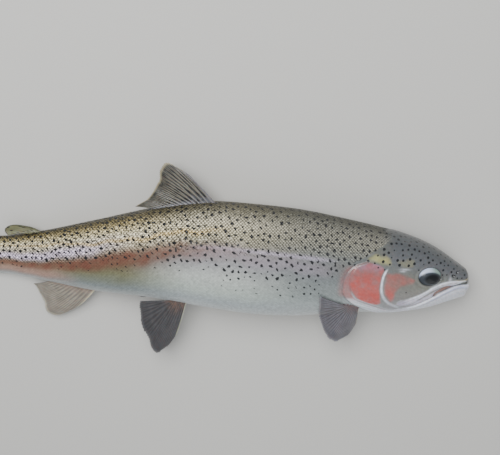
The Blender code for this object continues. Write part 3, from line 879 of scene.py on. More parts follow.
@dataclass(frozen=True)
class Livery:
    """The trout's markings and painted light and shade, the same on bare skin and on scales.

    Each ramp shades the body from the back (0) round to the belly (1): on the head, at the
    shoulder, at mid-length and along the tail stalk, and they change over between the
    given distances behind the snout. The marks of BodyMarks lie over them. Clouds, patches,
    mottling and the spots' ragged edges are given by their number to the millimetre.
    """

    head: Stops = (
        (0.0, "424547"), (0.16, "505356"), (0.30, "5f6165"), (0.42, "6f716c"),
        (0.52, "76766e"), (0.64, "85837f"), (0.80, "aeaeb4"), (1.0, "d2d3d6"),
    )
    shoulder: Stops = (
        (0.0, "3a392e"), (0.08, "585850"), (0.16, "62625b"), (0.26, "60625d"),
        (0.38, "6c7171"), (0.50, "757c7e"), (0.64, "868f8f"), (0.74, "a3acad"),
        (0.86, "c6ccce"), (1.0, "e6e8e6"),
    )
    # The middle and stalk ramps turn the lower flank and belly grey-green: painted shade over the
    # belly's own silvery white
    middle: Stops = (
        (0.0, "39331a"), (0.06, "67624e"), (0.13, "858170"), (0.18, "a8a28e"),
        (0.26, "8e8973"), (0.35, "706b62"), (0.46, "a0a0a3"), (0.57, "c4cac5"),
        (0.68, "bdc8c1"), (0.77, "aeb8bb"), (0.88, "c8cfd1"), (1.0, "e6e8e6"),
    )
    stalk: Stops = (
        (0.0, "2a2408"), (0.07, "554819"), (0.13, "82703a"), (0.19, "c8ba8c"),
        (0.26, "e6dcc4"), (0.33, "bab19a"), (0.42, "6e6450"), (0.52, "6e614a"),
        (0.61, "77775a"), (0.70, "7c8376"), (0.78, "869091"), (0.9, "b4babb"),
        (1.0, "d8dad8"),
    )
    changes: Points = ((78.0, 100.0), (150.0, 250.0), (270.0, 350.0))
    rose: str = "b8463e"
    pale: str = "e6eaf6"
    tan: str = "80635a"
    # Painted shade in the head's slits, pits and creases
    dark: str = "26262a"
    olive: str = "aaa56c"
    # Partly painted highlight and sheen, on the lower lip and the top of the gill cover
    lilac: str = "aab0dc"
    gold: str = "b5a874"
    rust: str = "d23a2e"
    stripe: str = "734536"
    streak: str = "c4a04a"
    # A painted sheen: the flank's pearly lilac shine laid into its colour
    sheen: str = "e8d8fa"
    blush: str = "b98d7c"
    spot: str = "101216"
    clouds: float = 0.05
    patches: float = 0.11
    mottling: float = 0.35
    ragged: float = 0.55

    def colour(self, tree: Tree) -> tuple[Socket, Socket]:
        """Adds the nodes of the markings and of the painted light and shade.

        Args:
            tree: The material's node tree.

        Returns:
            The colour, and a mask that is 1 on the black spots.
        """
        place = add(tree, "Attribute", attribute_name="place").outputs["Vector"]
        s, _, level = add(tree, "SeparateXYZ", links={0: place}).outputs
        clouds, patches, mottle = (
            add(
                tree,
                "TexNoise",
                {"Scale": scale, "Detail": detail, "Roughness": roughness},
                {"Vector": place},
            )
            for scale, detail, roughness in (
                (self.clouds, 3.0, 0.5),
                (self.patches, 3.0, 0.6),
                (self.mottling, 4.0, 0.6),
            )
        )
        shift = add(tree, "MapRange", {3: -0.03, 4: 0.03}, {0: clouds})
        level = add(tree, "Math", links={0: level, 1: shift}, operation="ADD")
        colour, *ramps = (
            add(tree, "ValToRGB", links={0: level}, stops=stops).outputs[0]
            for stops in (self.head, self.shoulder, self.middle, self.stalk)
        )
        for ramp, (start, end) in zip(ramps, self.changes):
            change = add(
                tree, "MapRange", {1: start, 2: end}, {0: s}, interpolation_type="SMOOTHSTEP"
            )
            colour = add(
                tree, "Mix", links={0: change, 6: colour, 7: ramp}, data_type="RGBA"
            ).outputs[2]
        # The reds come and go in patches
        strength = add(tree, "MapRange", {1: 0.32, 2: 0.62, 3: 0.62, 4: 1.06}, {0: patches})
        for attribute, codes in (
            ("band", (self.sheen, self.stripe, self.streak, self.blush)),
            ("tint", (self.olive, self.lilac, self.gold, self.rust)),
            ("paint", (self.rose, self.pale, self.tan)),
        ):
            read = add(tree, "Attribute", attribute_name=attribute)
            split = add(tree, "SeparateColor", links={0: read.outputs["Color"]}).outputs
            for mask, code in zip((*split[:3], read.outputs["Alpha"]), codes):
                if code in (self.rose, self.stripe):
                    mask = add(tree, "Math", links={0: mask, 1: strength}, operation="MULTIPLY")
                colour = lay_over(tree, colour, [(mask, code)])
        shade = add(tree, "MapRange", {1: 0.3, 2: 0.7, 3: 0.86, 4: 1.14}, {0: mottle})
        colour = add(
            tree, "Mix", {0: 1.0}, {6: colour, 7: shade}, data_type="RGBA", blend_type="MULTIPLY"
        ).outputs[2]
        # The paint's alpha is painted shade in the head's slits, pits and creases
        dark = add(tree, "Attribute", attribute_name="paint").outputs["Alpha"]
        spots = self.spots(tree, s)
        return lay_over(tree, colour, [(dark, self.dark), (spots, self.spot)]), spots

    def spots(self, tree: Tree, s: Socket) -> Socket:
        """Adds the black spots: round on the head, ragged over the scales.

        Args:
            tree: The material's node tree.
            s: The distance behind the snout.

        Returns:
            A mask that is 1 inside a spot.
        """
        place, mark = (
            add(tree, "Attribute", attribute_name=name).outputs["Vector"]
            for name in ("place", "mark")
        )
        ragged = add(
            tree, "TexNoise", {"Scale": self.ragged, "Detail": 2.0}, {"Vector": place}
        ).outputs["Color"]
        pull = add(tree, "VectorMath", {1: (0.5, 0.5, 0.5)}, {0: ragged}, operation="SUBTRACT")
        reach = add(tree, "MapRange", {1: 80.0, 2: 130.0, 3: 0.5, 4: 1.7}, {0: s})
        push = add(tree, "VectorMath", links={0: pull, "Scale": reach}, operation="SCALE")
        bent = add(tree, "VectorMath", links={0: mark, 1: push}, operation="ADD")
        x, y, _ = add(tree, "SeparateXYZ", links={0: bent}).outputs
        far = add(tree, "SeparateXYZ", links={0: mark}).outputs[2]
        flat = add(tree, "CombineXYZ", links={0: x, 1: y})
        away = add(tree, "VectorMath", links={0: flat}, operation="LENGTH").outputs["Value"]
        disc = add(tree, "MapRange", {1: 1.12, 2: 0.86}, {0: away}, interpolation_type="SMOOTHSTEP")
        near = add(tree, "MapRange", {1: 1.5, 2: 1.32}, {0: far})
        return add(tree, "Math", links={0: disc, 1: near}, operation="MULTIPLY").outputs[0]


@dataclass(frozen=True)
class WetHide:
    """Bare trout skin: scaleless, slick with mucus, so its highlights are soft and broad."""

    name: str = "wet_fish_hide"
    roughness: float = 0.33
    mucus: float = 0.35
    mucus_roughness: float = 0.14
    pore_mm: float = 0.9
    fold_mm: float = 4.5
    livery: Livery = Livery()

    def material(self) -> bpy.types.Material:
        """The finished material.

        Returns:
            The material.
        """
        made, tree, shader = new_material(
            self.name,
            {
                "Roughness": self.roughness,
                "Specular IOR Level": 0.5,
                "Coat Weight": self.mucus,
                "Coat Roughness": self.mucus_roughness,
                "Subsurface Weight": 0.06,
                "Subsurface Scale": 0.002,
            },
        )
        colour, _ = self.livery.colour(tree)
        tree.links.new(colour, shader.inputs["Base Color"])
        where = add(tree, "TexCoord").outputs["Object"]
        pores, folds = (
            add(tree, "TexNoise", {"Scale": 1 / (size * MM), "Detail": detail}, {"Vector": where})
            for size, detail in ((self.pore_mm, 3.0), (self.fold_mm, 2.0))
        )
        both = add(tree, "Math", {1: 0.35}, {0: pores, 2: folds}, operation="MULTIPLY_ADD")
        bump = add(tree, "Bump", {"Strength": 0.35, "Distance": 0.5 * MM}, {"Height": both})
        tree.links.new(bump.outputs[0], shader.inputs["Normal"])
        return made


@dataclass(frozen=True)
class PearlScale:
    """Trout scales: clear plates over a mirror layer, so they glint like dull pearl.

    Each has a painted highlight in its middle and a dark line round it, both strongest on the back.
    """

    name: str = "pearly_trout_scale"
    livery: Livery = Livery()
    edge: str = "12120a"
    # Colour of the painted highlight in each scale's middle
    glint: str = "f2e6c0"
    glint_weight: float = 0.42
    lift: float = 0.55
    mirror: float = 0.3
    coat_roughness: float = 0.18
    plain_roughness: float = 0.5
    netted_roughness: float = 0.36

    def material(self) -> bpy.types.Material:
        """The finished material.

        Returns:
            The material.
        """
        made, tree, shader = new_material(self.name, {"Coat Roughness": self.coat_roughness})
        colour, spots = self.livery.colour(tree)
        read = add(tree, "Attribute", attribute_name="plate").outputs["Vector"]
        rim, tone, contrast = add(tree, "SeparateXYZ", links={0: read}).outputs
        place = add(tree, "Attribute", attribute_name="place").outputs["Vector"]
        level = add(tree, "SeparateXYZ", links={0: place}).outputs[2]
        lit = add(tree, "MapRange", {1: 0.07, 2: 0.2, 3: 0.15, 4: 1.1}, {0: level})
        highlight_mask, line = (
            add(tree, "MapRange", values, links, interpolation_type="SMOOTHSTEP")
            for values, links in (
                ({1: 0.95, 2: 0.35}, {0: rim, 4: lit}),
                ({1: 0.5, 2: 0.95, 4: 1.0}, {0: rim}),
            )
        )
        highlight_mask, line = (
            add(tree, "Math", links={0: mask, 1: contrast}, operation="MULTIPLY")
            for mask in (highlight_mask, line)
        )
        # Every scale is a little lighter or darker than the next, partly as painted glints, and has
        # a painted highlight in its middle
        tone = add(tree, "MapRange", {3: -0.05, 4: 0.05}, {0: tone})
        wide = add(tree, "Math", {1: 7.6, 2: 1.1}, {0: contrast}, operation="MULTIPLY_ADD")
        plain = add(tree, "Math", {2: 1.0}, {0: tone, 1: wide}, operation="MULTIPLY_ADD")
        tone_and_highlight = add(tree, "Math", {1: self.lift}, {0: highlight_mask, 2: plain}, operation="MULTIPLY_ADD")
        colour = add(
            tree, "Mix", {0: 1.0}, {6: colour, 7: tone_and_highlight}, data_type="RGBA", blend_type="MULTIPLY"
        ).outputs[2]
        glint = add(tree, "Math", {1: self.glint_weight}, {0: highlight_mask}, operation="MULTIPLY")
        layers = [(glint, self.glint), (line, self.edge), (spots, self.livery.spot)]
        tree.links.new(lay_over(tree, colour, layers), shader.inputs["Base Color"])
        mirror = add(tree, "MapRange", {3: self.mirror, 4: 0.0}, {0: spots}).outputs[0]
        tree.links.new(mirror, shader.inputs["Metallic"])
        tree.links.new(mirror, shader.inputs["Coat Weight"])
        rough = add(
            tree,
            "MapRange",
            {3: self.plain_roughness, 4: self.netted_roughness},
            {0: contrast},
        ).outputs[0]
        tree.links.new(rough, shader.inputs["Roughness"])
        return made


# ---- skin and scales


@dataclass
class BodyMarks:
    """The stripe and streak of the flank, and its painted sheens.

    Each line is a curve of the place round the body (0 back, 1 belly) over the distance
    behind the snout.
    """

    form: TroutForm
    stripe_line: Curve = Curve(
        ((120, 0.44), (160, 0.43), (200, 0.415), (260, 0.375), (320, 0.42), (380, 0.50),
         (410, 0.56), (440, 0.60), (516, 0.54))
    )
    stripe_half: Curve = Curve(
        ((120, 0.05), (220, 0.045), (290, 0.065), (350, 0.085), (420, 0.08), (516, 0.08))
    )
    stripe_depth: Curve = Curve(
        ((118, 0.1), (150, 0.14), (240, 0.24), (290, 0.7), (340, 0.95), (516, 0.85))
    )
    glow_line: Curve = Curve(((120, 0.37), (170, 0.36), (230, 0.35), (300, 0.36)))
    sheen_line: Curve = Curve(((340, 0.31), (380, 0.335), (410, 0.39), (440, 0.44), (516, 0.40)))
    streak_line: Curve = Curve(
        ((150, 0.20), (240, 0.22), (300, 0.26), (350, 0.285), (420, 0.26), (516, 0.24))
    )

    def bands(self, s: Array, g: Array) -> Array:
        """The long marks of the flank.

        Args:
            s: Distances behind the snout.
            g: Places round the body.

        Returns:
            Rows of (painted sheen, stripe, streak, blush), each 0 to 1.
        """
        h = np.abs(g) + 0.012 * np.sin(s / 9.0) + 0.008 * np.sin(s / 4.1 + 1.0)
        off = (h - self.stripe_line(s)) / self.stripe_half(s)
        stripe = np.exp(-np.abs(off) ** 3 * 0.8) * self.stripe_depth(s) * ease(s, 112, 135)
        front = ease(s, 130, 160) * ease(s, 300, 250)
        # The sheens are painted: a pale lilac shine on the rear flank, along the lateral line and
        # over the stripe's front
        sheen = strongest(
            bell(h - self.sheen_line(s), 0.07) * ease(s, 330, 400),
            0.3 * bell(np.abs(g) - self.glow_line(s), 0.016) * front,
            0.16 * bell(h - self.stripe_line(s), 0.05) * front,
        )
        streak = 0.85 * bell(h - self.streak_line(s), 0.017) * ease(s, 230, 290)
        blush = 0.75 * ease(s, 385, 430) * bell(h - 0.74, 0.10)
        return np.stack([sheen, stripe, streak, blush], axis=1) * ease(s, 526, 486)[:, None]


@dataclass
class SpotField:
    """Black spots strewn evenly over the head, back and upper flanks.

    They crowd towards the tail. Past the limit, which is a curve of the place round the
    body over the distance behind the snout, only half of them stay, and those are small
    and stray no further than the given part of g.
    """

    form: TroutForm
    spacing: Curve = Curve(
        ((0, 4.0), (25, 4.5), (70, 5.0), (150, 5.5), (260, 5.5), (330, 5.0), (400, 4.6),
         (520, 4.2))
    )
    radius: Curve = Curve(
        ((0, 1.0), (25, 1.15), (60, 1.25), (120, 1.4), (260, 1.42), (380, 1.42), (520, 1.25))
    )
    limit: Curve = Curve(
        ((0, 0.42), (50, 0.36), (70, 0.36), (84, 0.385), (104, 0.375), (116, 0.36), (128, 0.44),
         (150, 0.52), (260, 0.52), (340, 0.47), (400, 0.5), (516, 0.62))
    )
    tries: int = 70000
    lowest: float = 0.75
    stray: float = 0.11
    cell: float = 6.0
    cheek_spot: tuple[float, float] = (66.3, -4.0)

    def __post_init__(self) -> None:
        """Strews the spots and gives each its own size, length and lean."""
        random = np.random.default_rng(SEED + 5)
        s, g = self.strewn(random)
        over = np.abs(g) - self.limit(s)
        luck = random.random(s.shape)
        keep = (over < 0) | ((luck < 0.5) & (over < self.stray) & (s > 128))
        # One spot stands alone low on the cheek
        cheek_s, cheek_g = self.cheek_spot[0], self.form.g_at(*self.cheek_spot)
        cheek = np.argmin(np.hypot(s - cheek_s, (g - cheek_g) * 90))
        s[cheek], g[cheek], keep[cheek] = cheek_s, cheek_g, True
        self.s, self.g, over = s[keep], g[keep], over[keep]
        count = len(self.s)
        self.size = self.radius(self.s) * random.uniform(0.8, 1.15, count)
        self.size *= np.where(random.random(count) < 0.16, 0.62, 1.0)
        self.size *= np.where(over > -0.03, 0.66, 1.0)
        stretch = 1 + random.uniform(0.0, 0.5, count) * ease(self.s, 90, 140)
        lean = random.normal(-0.9, 0.5, count)
        self.middle = self.form.skin_point(self.s, self.g)
        along, round_ = (
            way / np.linalg.norm(way, axis=1, keepdims=True)
            for way in self.form.directions(self.s, self.g, 0.4, 0.004)
        )
        cos, sin = np.cos(lean)[:, None], np.sin(lean)[:, None]
        self.long = (along * cos + round_ * sin) / (self.size * stretch)[:, None]
        self.wide = (round_ * cos - along * sin) / (self.size / stretch)[:, None]
        self.tree = KDTree(count)
        for k, point in enumerate(self.middle):
            self.tree.insert(point, k)
        self.tree.balance()

    def strewn(self, random: np.random.Generator) -> tuple[Array, Array]:
        """Picks places at random, none nearer to another than the spacing.

        Args:
            random: Where the random numbers come from.

        Returns:
            The s and g of the places.
        """
        s = random.uniform(1.5, self.form.end - 2, self.tries)
        g = random.uniform(-self.lowest, self.lowest, self.tries)
        points = self.form.skin_point(s, g)
        gaps = self.spacing(s)
        boxes = (points // self.cell).astype(int)
        grid: dict[tuple[int, int, int], list[int]] = {}
        steps = [(a, b, c) for a in (-1, 0, 1) for b in (-1, 0, 1) for c in (-1, 0, 1)]
        kept = []
        for k in range(len(s)):
            a, b, c = (int(value) for value in boxes[k])
            close = [other for i, j, m in steps for other in grid.get((a + i, b + j, c + m), ())]
            if close and (((points[close] - points[k]) ** 2).sum(axis=1) < gaps[k] ** 2).any():
                continue
            grid.setdefault((a, b, c), []).append(k)
            kept.append(k)
        return s[kept], g[kept]

    def marks(self, points: Array, seekers: Array | None = None) -> Array:
        """Each point's place relative to the spot next to it.

        Args:
            points: Points on the skin, in millimetres.
            seekers: Points whose nearest spots are used, one for each equal run of points.

        Returns:
            Rows of two distances from the spot's middle and the whole of it, in spot radii.
        """
        asking = points if seekers is None else seekers
        nearest = np.array([self.tree.find(point)[1] for point in asking])
        nearest = np.repeat(nearest, len(points) // len(asking))
        off = points - self.middle[nearest]
        x, y = ((off * way[nearest]).sum(axis=1) for way in (self.long, self.wide))
        return np.stack([x, y, np.hypot(x, y)], axis=1)


@dataclass
class Skin:
    """The bare skin over the whole body, from snout to tail root.

    Under the scales it lies deeper by the depth of the coat.
    """

    form: TroutForm
    relief: HeadRelief
    spots: SpotField
    right_columns: int = 165
    left_columns: int = 105
    coat_depth: float = 0.45
    floor_gap: float = 0.35

    def ring_places(self) -> Array:
        """Where the rings lie: close on the head, wider under the scales.

        Returns:
            Distances behind the snout.
        """
        nose = self.form.nose_radius
        rows = [nose * (1 - np.cos(np.linspace(0, math.pi / 2, 11)))]
        ends = (nose, 64, 134, 516, self.form.end - 0.5)
        for start, end, count in zip(ends, ends[1:], (96, 88, 150, 9)):
            rows.append(np.linspace(start, end, count)[1:])
        return np.concatenate(rows)

    def build(self) -> bpy.types.Object:
        """Draws a sphere's rings out along the fish and sculpts them.

        Returns:
            The skin.
        """
        places = self.ring_places()
        rings, columns = len(places) - 1, self.right_columns + self.left_columns
        bm = bmesh.new()
        bmesh.ops.create_uvsphere(bm, u_segments=columns, v_segments=rings, radius=1)
        skin = to_object("trout_skin", bm)
        x, y, z = get_points(skin.data).T
        ring = np.rint(np.arctan2(np.hypot(x, y), z) / math.pi * rings).astype(int)
        column = np.rint(np.arctan2(y, x) / (2 * math.pi) * columns).astype(int) % columns
        g = np.where(
            column <= self.right_columns,
            column / self.right_columns,
            (column - columns) / self.left_columns,
        )
        s = places[ring]
        u, _ = self.form.straight(s, g)
        flat = self.form.skin_point(s, g)
        under_scales = ease(self.relief.scale_border.near(s, u)[0], -0.5, 2.5)
        lift = self.relief.height(s, u, g) * ease(s, 0.5, 3.0) - self.coat_depth * under_scales
        points = flat + self.form.facing(s, g) * lift[:, None]
        points[:, 2] = np.maximum(points[:, 2], self.floor_gap)
        set_points(skin.data, points)
        face_outwards(skin.data)
        self.mark(skin.data, s, u, g, self.spots.marks(flat))
        return skin

    def mark(self, mesh: bpy.types.Mesh, s: Array, u: Array, g: Array, spots: Array) -> None:
        """Stores each vertex's place and colours for the materials.

        Args:
            mesh: The mesh, with one vertex for each place.
            s: Distances behind the snout.
            u: Heights towards the back.
            g: Places round the body.
            spots: The SpotField's marks at the vertices.
        """
        paint, tint = HeadPaint(self.relief, s, u).rows()
        for name, values in (
            ("place", np.stack([s, g * self.form.half_girth(s), np.abs(g)], axis=1)),
            ("mark", spots),
            ("paint", paint),
            ("tint", tint),
            ("band", BodyMarks(self.form).bands(s, g)),
        ):
            set_attribute(mesh, name, values)


@dataclass
class ScalePlate:
    """One scale: a thin round-ended plate, low in front and raised at its free edge.

    Its sizes are in millimetres: how far it reaches tailward, headward and across, how
    far it lies tailward of its root, and how it rises towards its free edge and middle.
    """

    sides: int = 12
    tailward: float = 3.0
    headward: float = 2.24
    across: float = 1.96
    shift: float = 0.6
    base: float = 0.15
    slope: float = 0.11
    crown: float = 0.07
    droop: float = 0.05
    wall: float = 0.12

    def __post_init__(self) -> None:
        """Makes the plate's vertices, as rows, and its faces, which all point outwards.

        A row holds tailward, across, out, the part of the way to the rim, and 1 on top.
        """
        bm = bmesh.new()
        bmesh.ops.create_circle(bm, cap_ends=True, cap_tris=True, segments=self.sides, radius=1)
        made = bmesh.ops.extrude_face_region(bm, geom=bm.faces[:])["geom"]
        tops = {item for item in made if isinstance(item, bmesh.types.BMVert)}
        bmesh.ops.triangulate(bm, faces=[face for face in bm.faces if len(face.verts) > 4])
        rows = []
        for vert in bm.verts:
            x, y = vert.co.x, vert.co.y
            rim = min(1.0, math.hypot(x, y))
            along = self.tailward * x if x > 0 else self.headward * x
            across = self.across * y * (1.0 if x > -0.3 else 0.82)
            out = self.base + self.slope * x + self.crown * (1 - rim) - self.droop * y * y
            out -= 0.0 if vert in tops else self.wall
            rows.append((along + self.shift, across, out, rim, float(vert in tops)))
        bm.verts.index_update()
        self.rows = np.array(rows)
        self.faces = [tuple(vert.index for vert in face.verts) for face in bm.faces]
        bm.free()
        if self.volume() < 0:
            self.faces = [face[::-1] for face in self.faces]

    def volume(self) -> float:
        """Six times the volume inside the faces.

        Returns:
            The number, in cubic millimetres, negative where the faces point inwards.
        """
        corners = self.rows[:, :3]
        return sum(
            float(np.dot(corners[face[0]], np.cross(corners[face[k]], corners[face[k + 1]])))
            for face in self.faces
            for k in range(1, len(face) - 1)
        )


@dataclass
class ScaleCoat:
    """Thousands of overlapping scales in slanting rows, over all but the head.

    They are a fifth larger than a trout's own, because real ones are too fine to show.
    The pitch along a row and the gap between two rows are in millimetres.
    """

    form: TroutForm
    skin: Skin
    plate: ScalePlate = field(default_factory=ScalePlate)
    pitch: float = 3.65
    row: float = 1.91
    rows_to_a_side: int = 130
    lengths: tuple[str, ...] = ("front", "middle", "rear")
    patch: float = 0.003
    size_at: Curve = Curve(
        ((80, 0.74), (130, 0.84), (220, 0.86), (290, 0.97), (380, 0.96), (460, 0.84), (530, 0.70))
    )

    def roots(self) -> tuple[Array, Array, Array]:
        """Where each scale grows.

        Returns:
            The s, the g and a random tone of each scale.
        """
        random = np.random.default_rng(SEED)
        form = self.form
        stations = np.linspace(60, form.end, 2000)
        steps = np.diff(stations) / (self.pitch * self.size_at(stations[:-1]))
        count = np.concatenate([[0.0], np.cumsum(steps)])
        # The rows run side by side with the lateral line
        points = ((80, 30), (125, 24.6), (170, 20.3), (257, 16), (380, 3), (470, 0), (532, 0))
        lateral = Curve([(s, form.g_at(s, u)) for s, u in points])
        all_s, all_g = [], []
        columns = np.arange(0, int(count[-1]) + 1)
        for j in range(-self.rows_to_a_side, self.rows_to_a_side + 1):
            s = np.interp(columns + 0.5 * (j % 2), count, stations)
            s = s + random.normal(0, 0.14, s.shape)
            size, girth = self.size_at(s), form.half_girth(s)
            arc = lateral(s) * girth + j * self.row * size + random.normal(0, 0.05, s.shape)
            g = arc / girth
            half = 0.3 * self.row * size / girth
            keep = (g > -half) & (g < 1 + half) & (s < form.end - 4)
            all_s.append(s[keep])
            all_g.append(g[keep])
        s, g = np.concatenate(all_s), np.concatenate(all_g)
        # The left flank's scales are shifted a little, so that none meets its twin
        s, g = np.concatenate([s, s + 0.02]), np.concatenate([g, -g])
        u, _ = form.straight(s, g)
        keep = self.skin.relief.scale_border.near(s, u)[0] > 0.6
        s, g = s[keep], g[keep]
        return s, g, random.random(s.shape)

    def build(self) -> list[bpy.types.Object]:
        """Lays the scales in pieces by flank and by length.

        Returns:
            The pieces of the coat.
        """
        s, g, tone = self.roots()
        LOG.info("scales: %d, each of %d faces", len(s), len(self.plate.faces))
        pieces = []
        cuts = np.quantile(s, np.linspace(0, 1, len(self.lengths) + 1))
        cuts[0], cuts[-1] = -1, 1e3
        for side in Side:
            for k, word in enumerate(self.lengths):
                pick = (g * side.value > 0) & (s >= cuts[k]) & (s < cuts[k + 1])
                name = f"scales_{side.name.lower()}_{word}"
                pieces.append(show(name, self.piece(name, s[pick], g[pick], tone[pick])))
        return pieces

    def netted(self, s: Array, g: Array) -> Array:
        """How boldly the net of the scales shows: above the stripe, behind the shoulder.

        Args:
            s: Where each scale grows along the fish.
            g: Where it grows round the body.

        Returns:
            The strength, from 0 to 1.
        """
        above = np.abs(g) - BodyMarks(self.form).stripe_line(s)
        return ease(above, -0.02, -0.12) * ease(s, 190, 300)

    def piece(self, name: str, s: Array, g: Array, tone: Array) -> bpy.types.Mesh:
        """One joined mesh of scales.

        Args:
            name: The piece's name.
            s: Where each scale grows along the fish.
            g: Where it grows round the body.
            tone: Its random tone.

        Returns:
            The mesh.
        """
        form, shape = self.form, self.plate.rows
        count, each = len(s), len(shape)
        size, netted = self.size_at(s), self.netted(s, g)
        random = np.random.default_rng(SEED + count)
        tilt = 1 + random.normal(0, 0.25, count)
        grow = (size * (1 + random.normal(0, 0.03, count)))[:, None]
        twist = random.normal(0, 0.035, count)[:, None]
        along = (shape[None, :, 0] + twist * shape[None, :, 1]) * grow
        across = (shape[None, :, 1] - twist * shape[None, :, 0]) * grow
        # They stand proud where the net shows, and lie close on the flank and belly
        bold = (0.38 + 0.62 * netted) * (1 - 0.8 * ease(np.abs(g), 0.27, 0.43) * (1 - netted))
        out = (shape[None, :, 2] * (size * tilt * bold)[:, None]).ravel()
        place_s = np.clip((s[:, None] + along).ravel(), 1, form.end + 3)
        arc = g[:, None] * form.half_girth(s)[:, None] + across * np.sign(g)[:, None]
        place_g = arc.ravel() / form.half_girth(place_s)
        held_s = np.minimum(place_s, form.end - 1)
        flat = form.skin_point(held_s, place_g)
        points = flat.copy()
        points[:, 0] -= place_s - held_s
        points += form.facing(held_s, place_g) * (out - self.skin.coat_depth)[:, None]
        points[:, 2] = np.maximum(points[:, 2], 0.04 + 0.15 * np.clip(out, 0, 1))
        mesh = self.joined(name, points, count)
        # A scale's spots are mostly those beside its own middle, so their edges are ragged
        u, _ = form.straight(held_s, place_g)
        seekers = form.skin_point(np.minimum(s + 2.0 * size, form.end - 1), g)
        felt = (0.7 * flat.reshape(count, each, 3) + 0.3 * seekers[:, None, :]).reshape(-1, 3)
        marks = self.skin.spots.marks(felt, seekers)
        self.skin.mark(mesh, held_s, u, (place_g + 1) % 2 - 1, marks)
        contrast = 0.06 + 0.26 * ease(np.abs(place_g), 0.42, 0.22) + 0.66 * np.repeat(netted, each)
        contrast *= ease(np.repeat(s, each), 76, 96) * 0.4 + 0.6
        looks = np.stack([np.tile(shape[:, 3], count), np.repeat(tone, each), contrast], axis=1)
        set_attribute(mesh, "plate", looks)
        # The plates shade as low domes on the back, and lie flat on the flank and belly
        flat_top = random.random(count) < ease(np.abs(g), 0.26, 0.40) * (1 - netted)
        tops = np.array([all(shape[vert, 4] > 0.5 for vert in face) for face in self.plate.faces])
        sharp = mesh.attributes.new("sharp_face", "BOOLEAN", "FACE")
        sharp.data.foreach_set("value", (flat_top[:, None] | ~tops[None, :]).ravel())
        self.unwrap(mesh, s, g)
        return mesh

    def joined(self, name: str, points: Array, count: int) -> bpy.types.Mesh:
        """Joins many copies of the plate into a mesh.

        Args:
            name: The mesh's name.
            points: All vertices, in millimetres, one plate after another.
            count: How many plates there are.

        Returns:
            The mesh.
        """
        mesh = bpy.data.meshes.new(name)
        each = len(self.plate.rows)
        corners = np.concatenate([np.array(face) for face in self.plate.faces])
        sizes = np.array([len(face) for face in self.plate.faces])
        loops = (corners[None, :] + each * np.arange(count)[:, None]).ravel()
        starts = np.concatenate([[0], np.cumsum(np.tile(sizes, count))[:-1]])
        mesh.vertices.add(each * count)
        mesh.loops.add(len(loops))
        mesh.polygons.add(len(starts))
        mesh.loops.foreach_set("vertex_index", loops.astype(np.int32))
        mesh.polygons.foreach_set("loop_start", starts.astype(np.int32))
        set_points(mesh, points)
        mesh.update(calc_edges=True)
        mesh.validate()
        return mesh

    def unwrap(self, mesh: bpy.types.Mesh, s: Array, g: Array) -> None:
        """Adds the OFBake map: each scale is a small patch where it grows on the unrolled skin.

        Args:
            mesh: The joined mesh.
            s: Where each scale grows along the fish.
            g: Where it grows round the body.
        """
        form, shape = self.form, self.plate.rows
        scale = self.patch / 2 / np.abs(shape[:, :2]).max()
        root = s / (form.end + 8), 0.5 + 0.49 * g * form.half_girth(s) / form.girths.max()
        left, up = (root[k][:, None] + shape[None, :, k] * scale for k in (0, 1))
        corner = np.empty(len(mesh.loops), np.int32)
        mesh.loops.foreach_get("vertex_index", corner)
        uv = np.stack([left.ravel(), up.ravel()], axis=1)[corner]
        mesh.uv_layers.new(name="OFBake").data.foreach_set("uv", uv.astype(np.float32).ravel())


# ---- fins


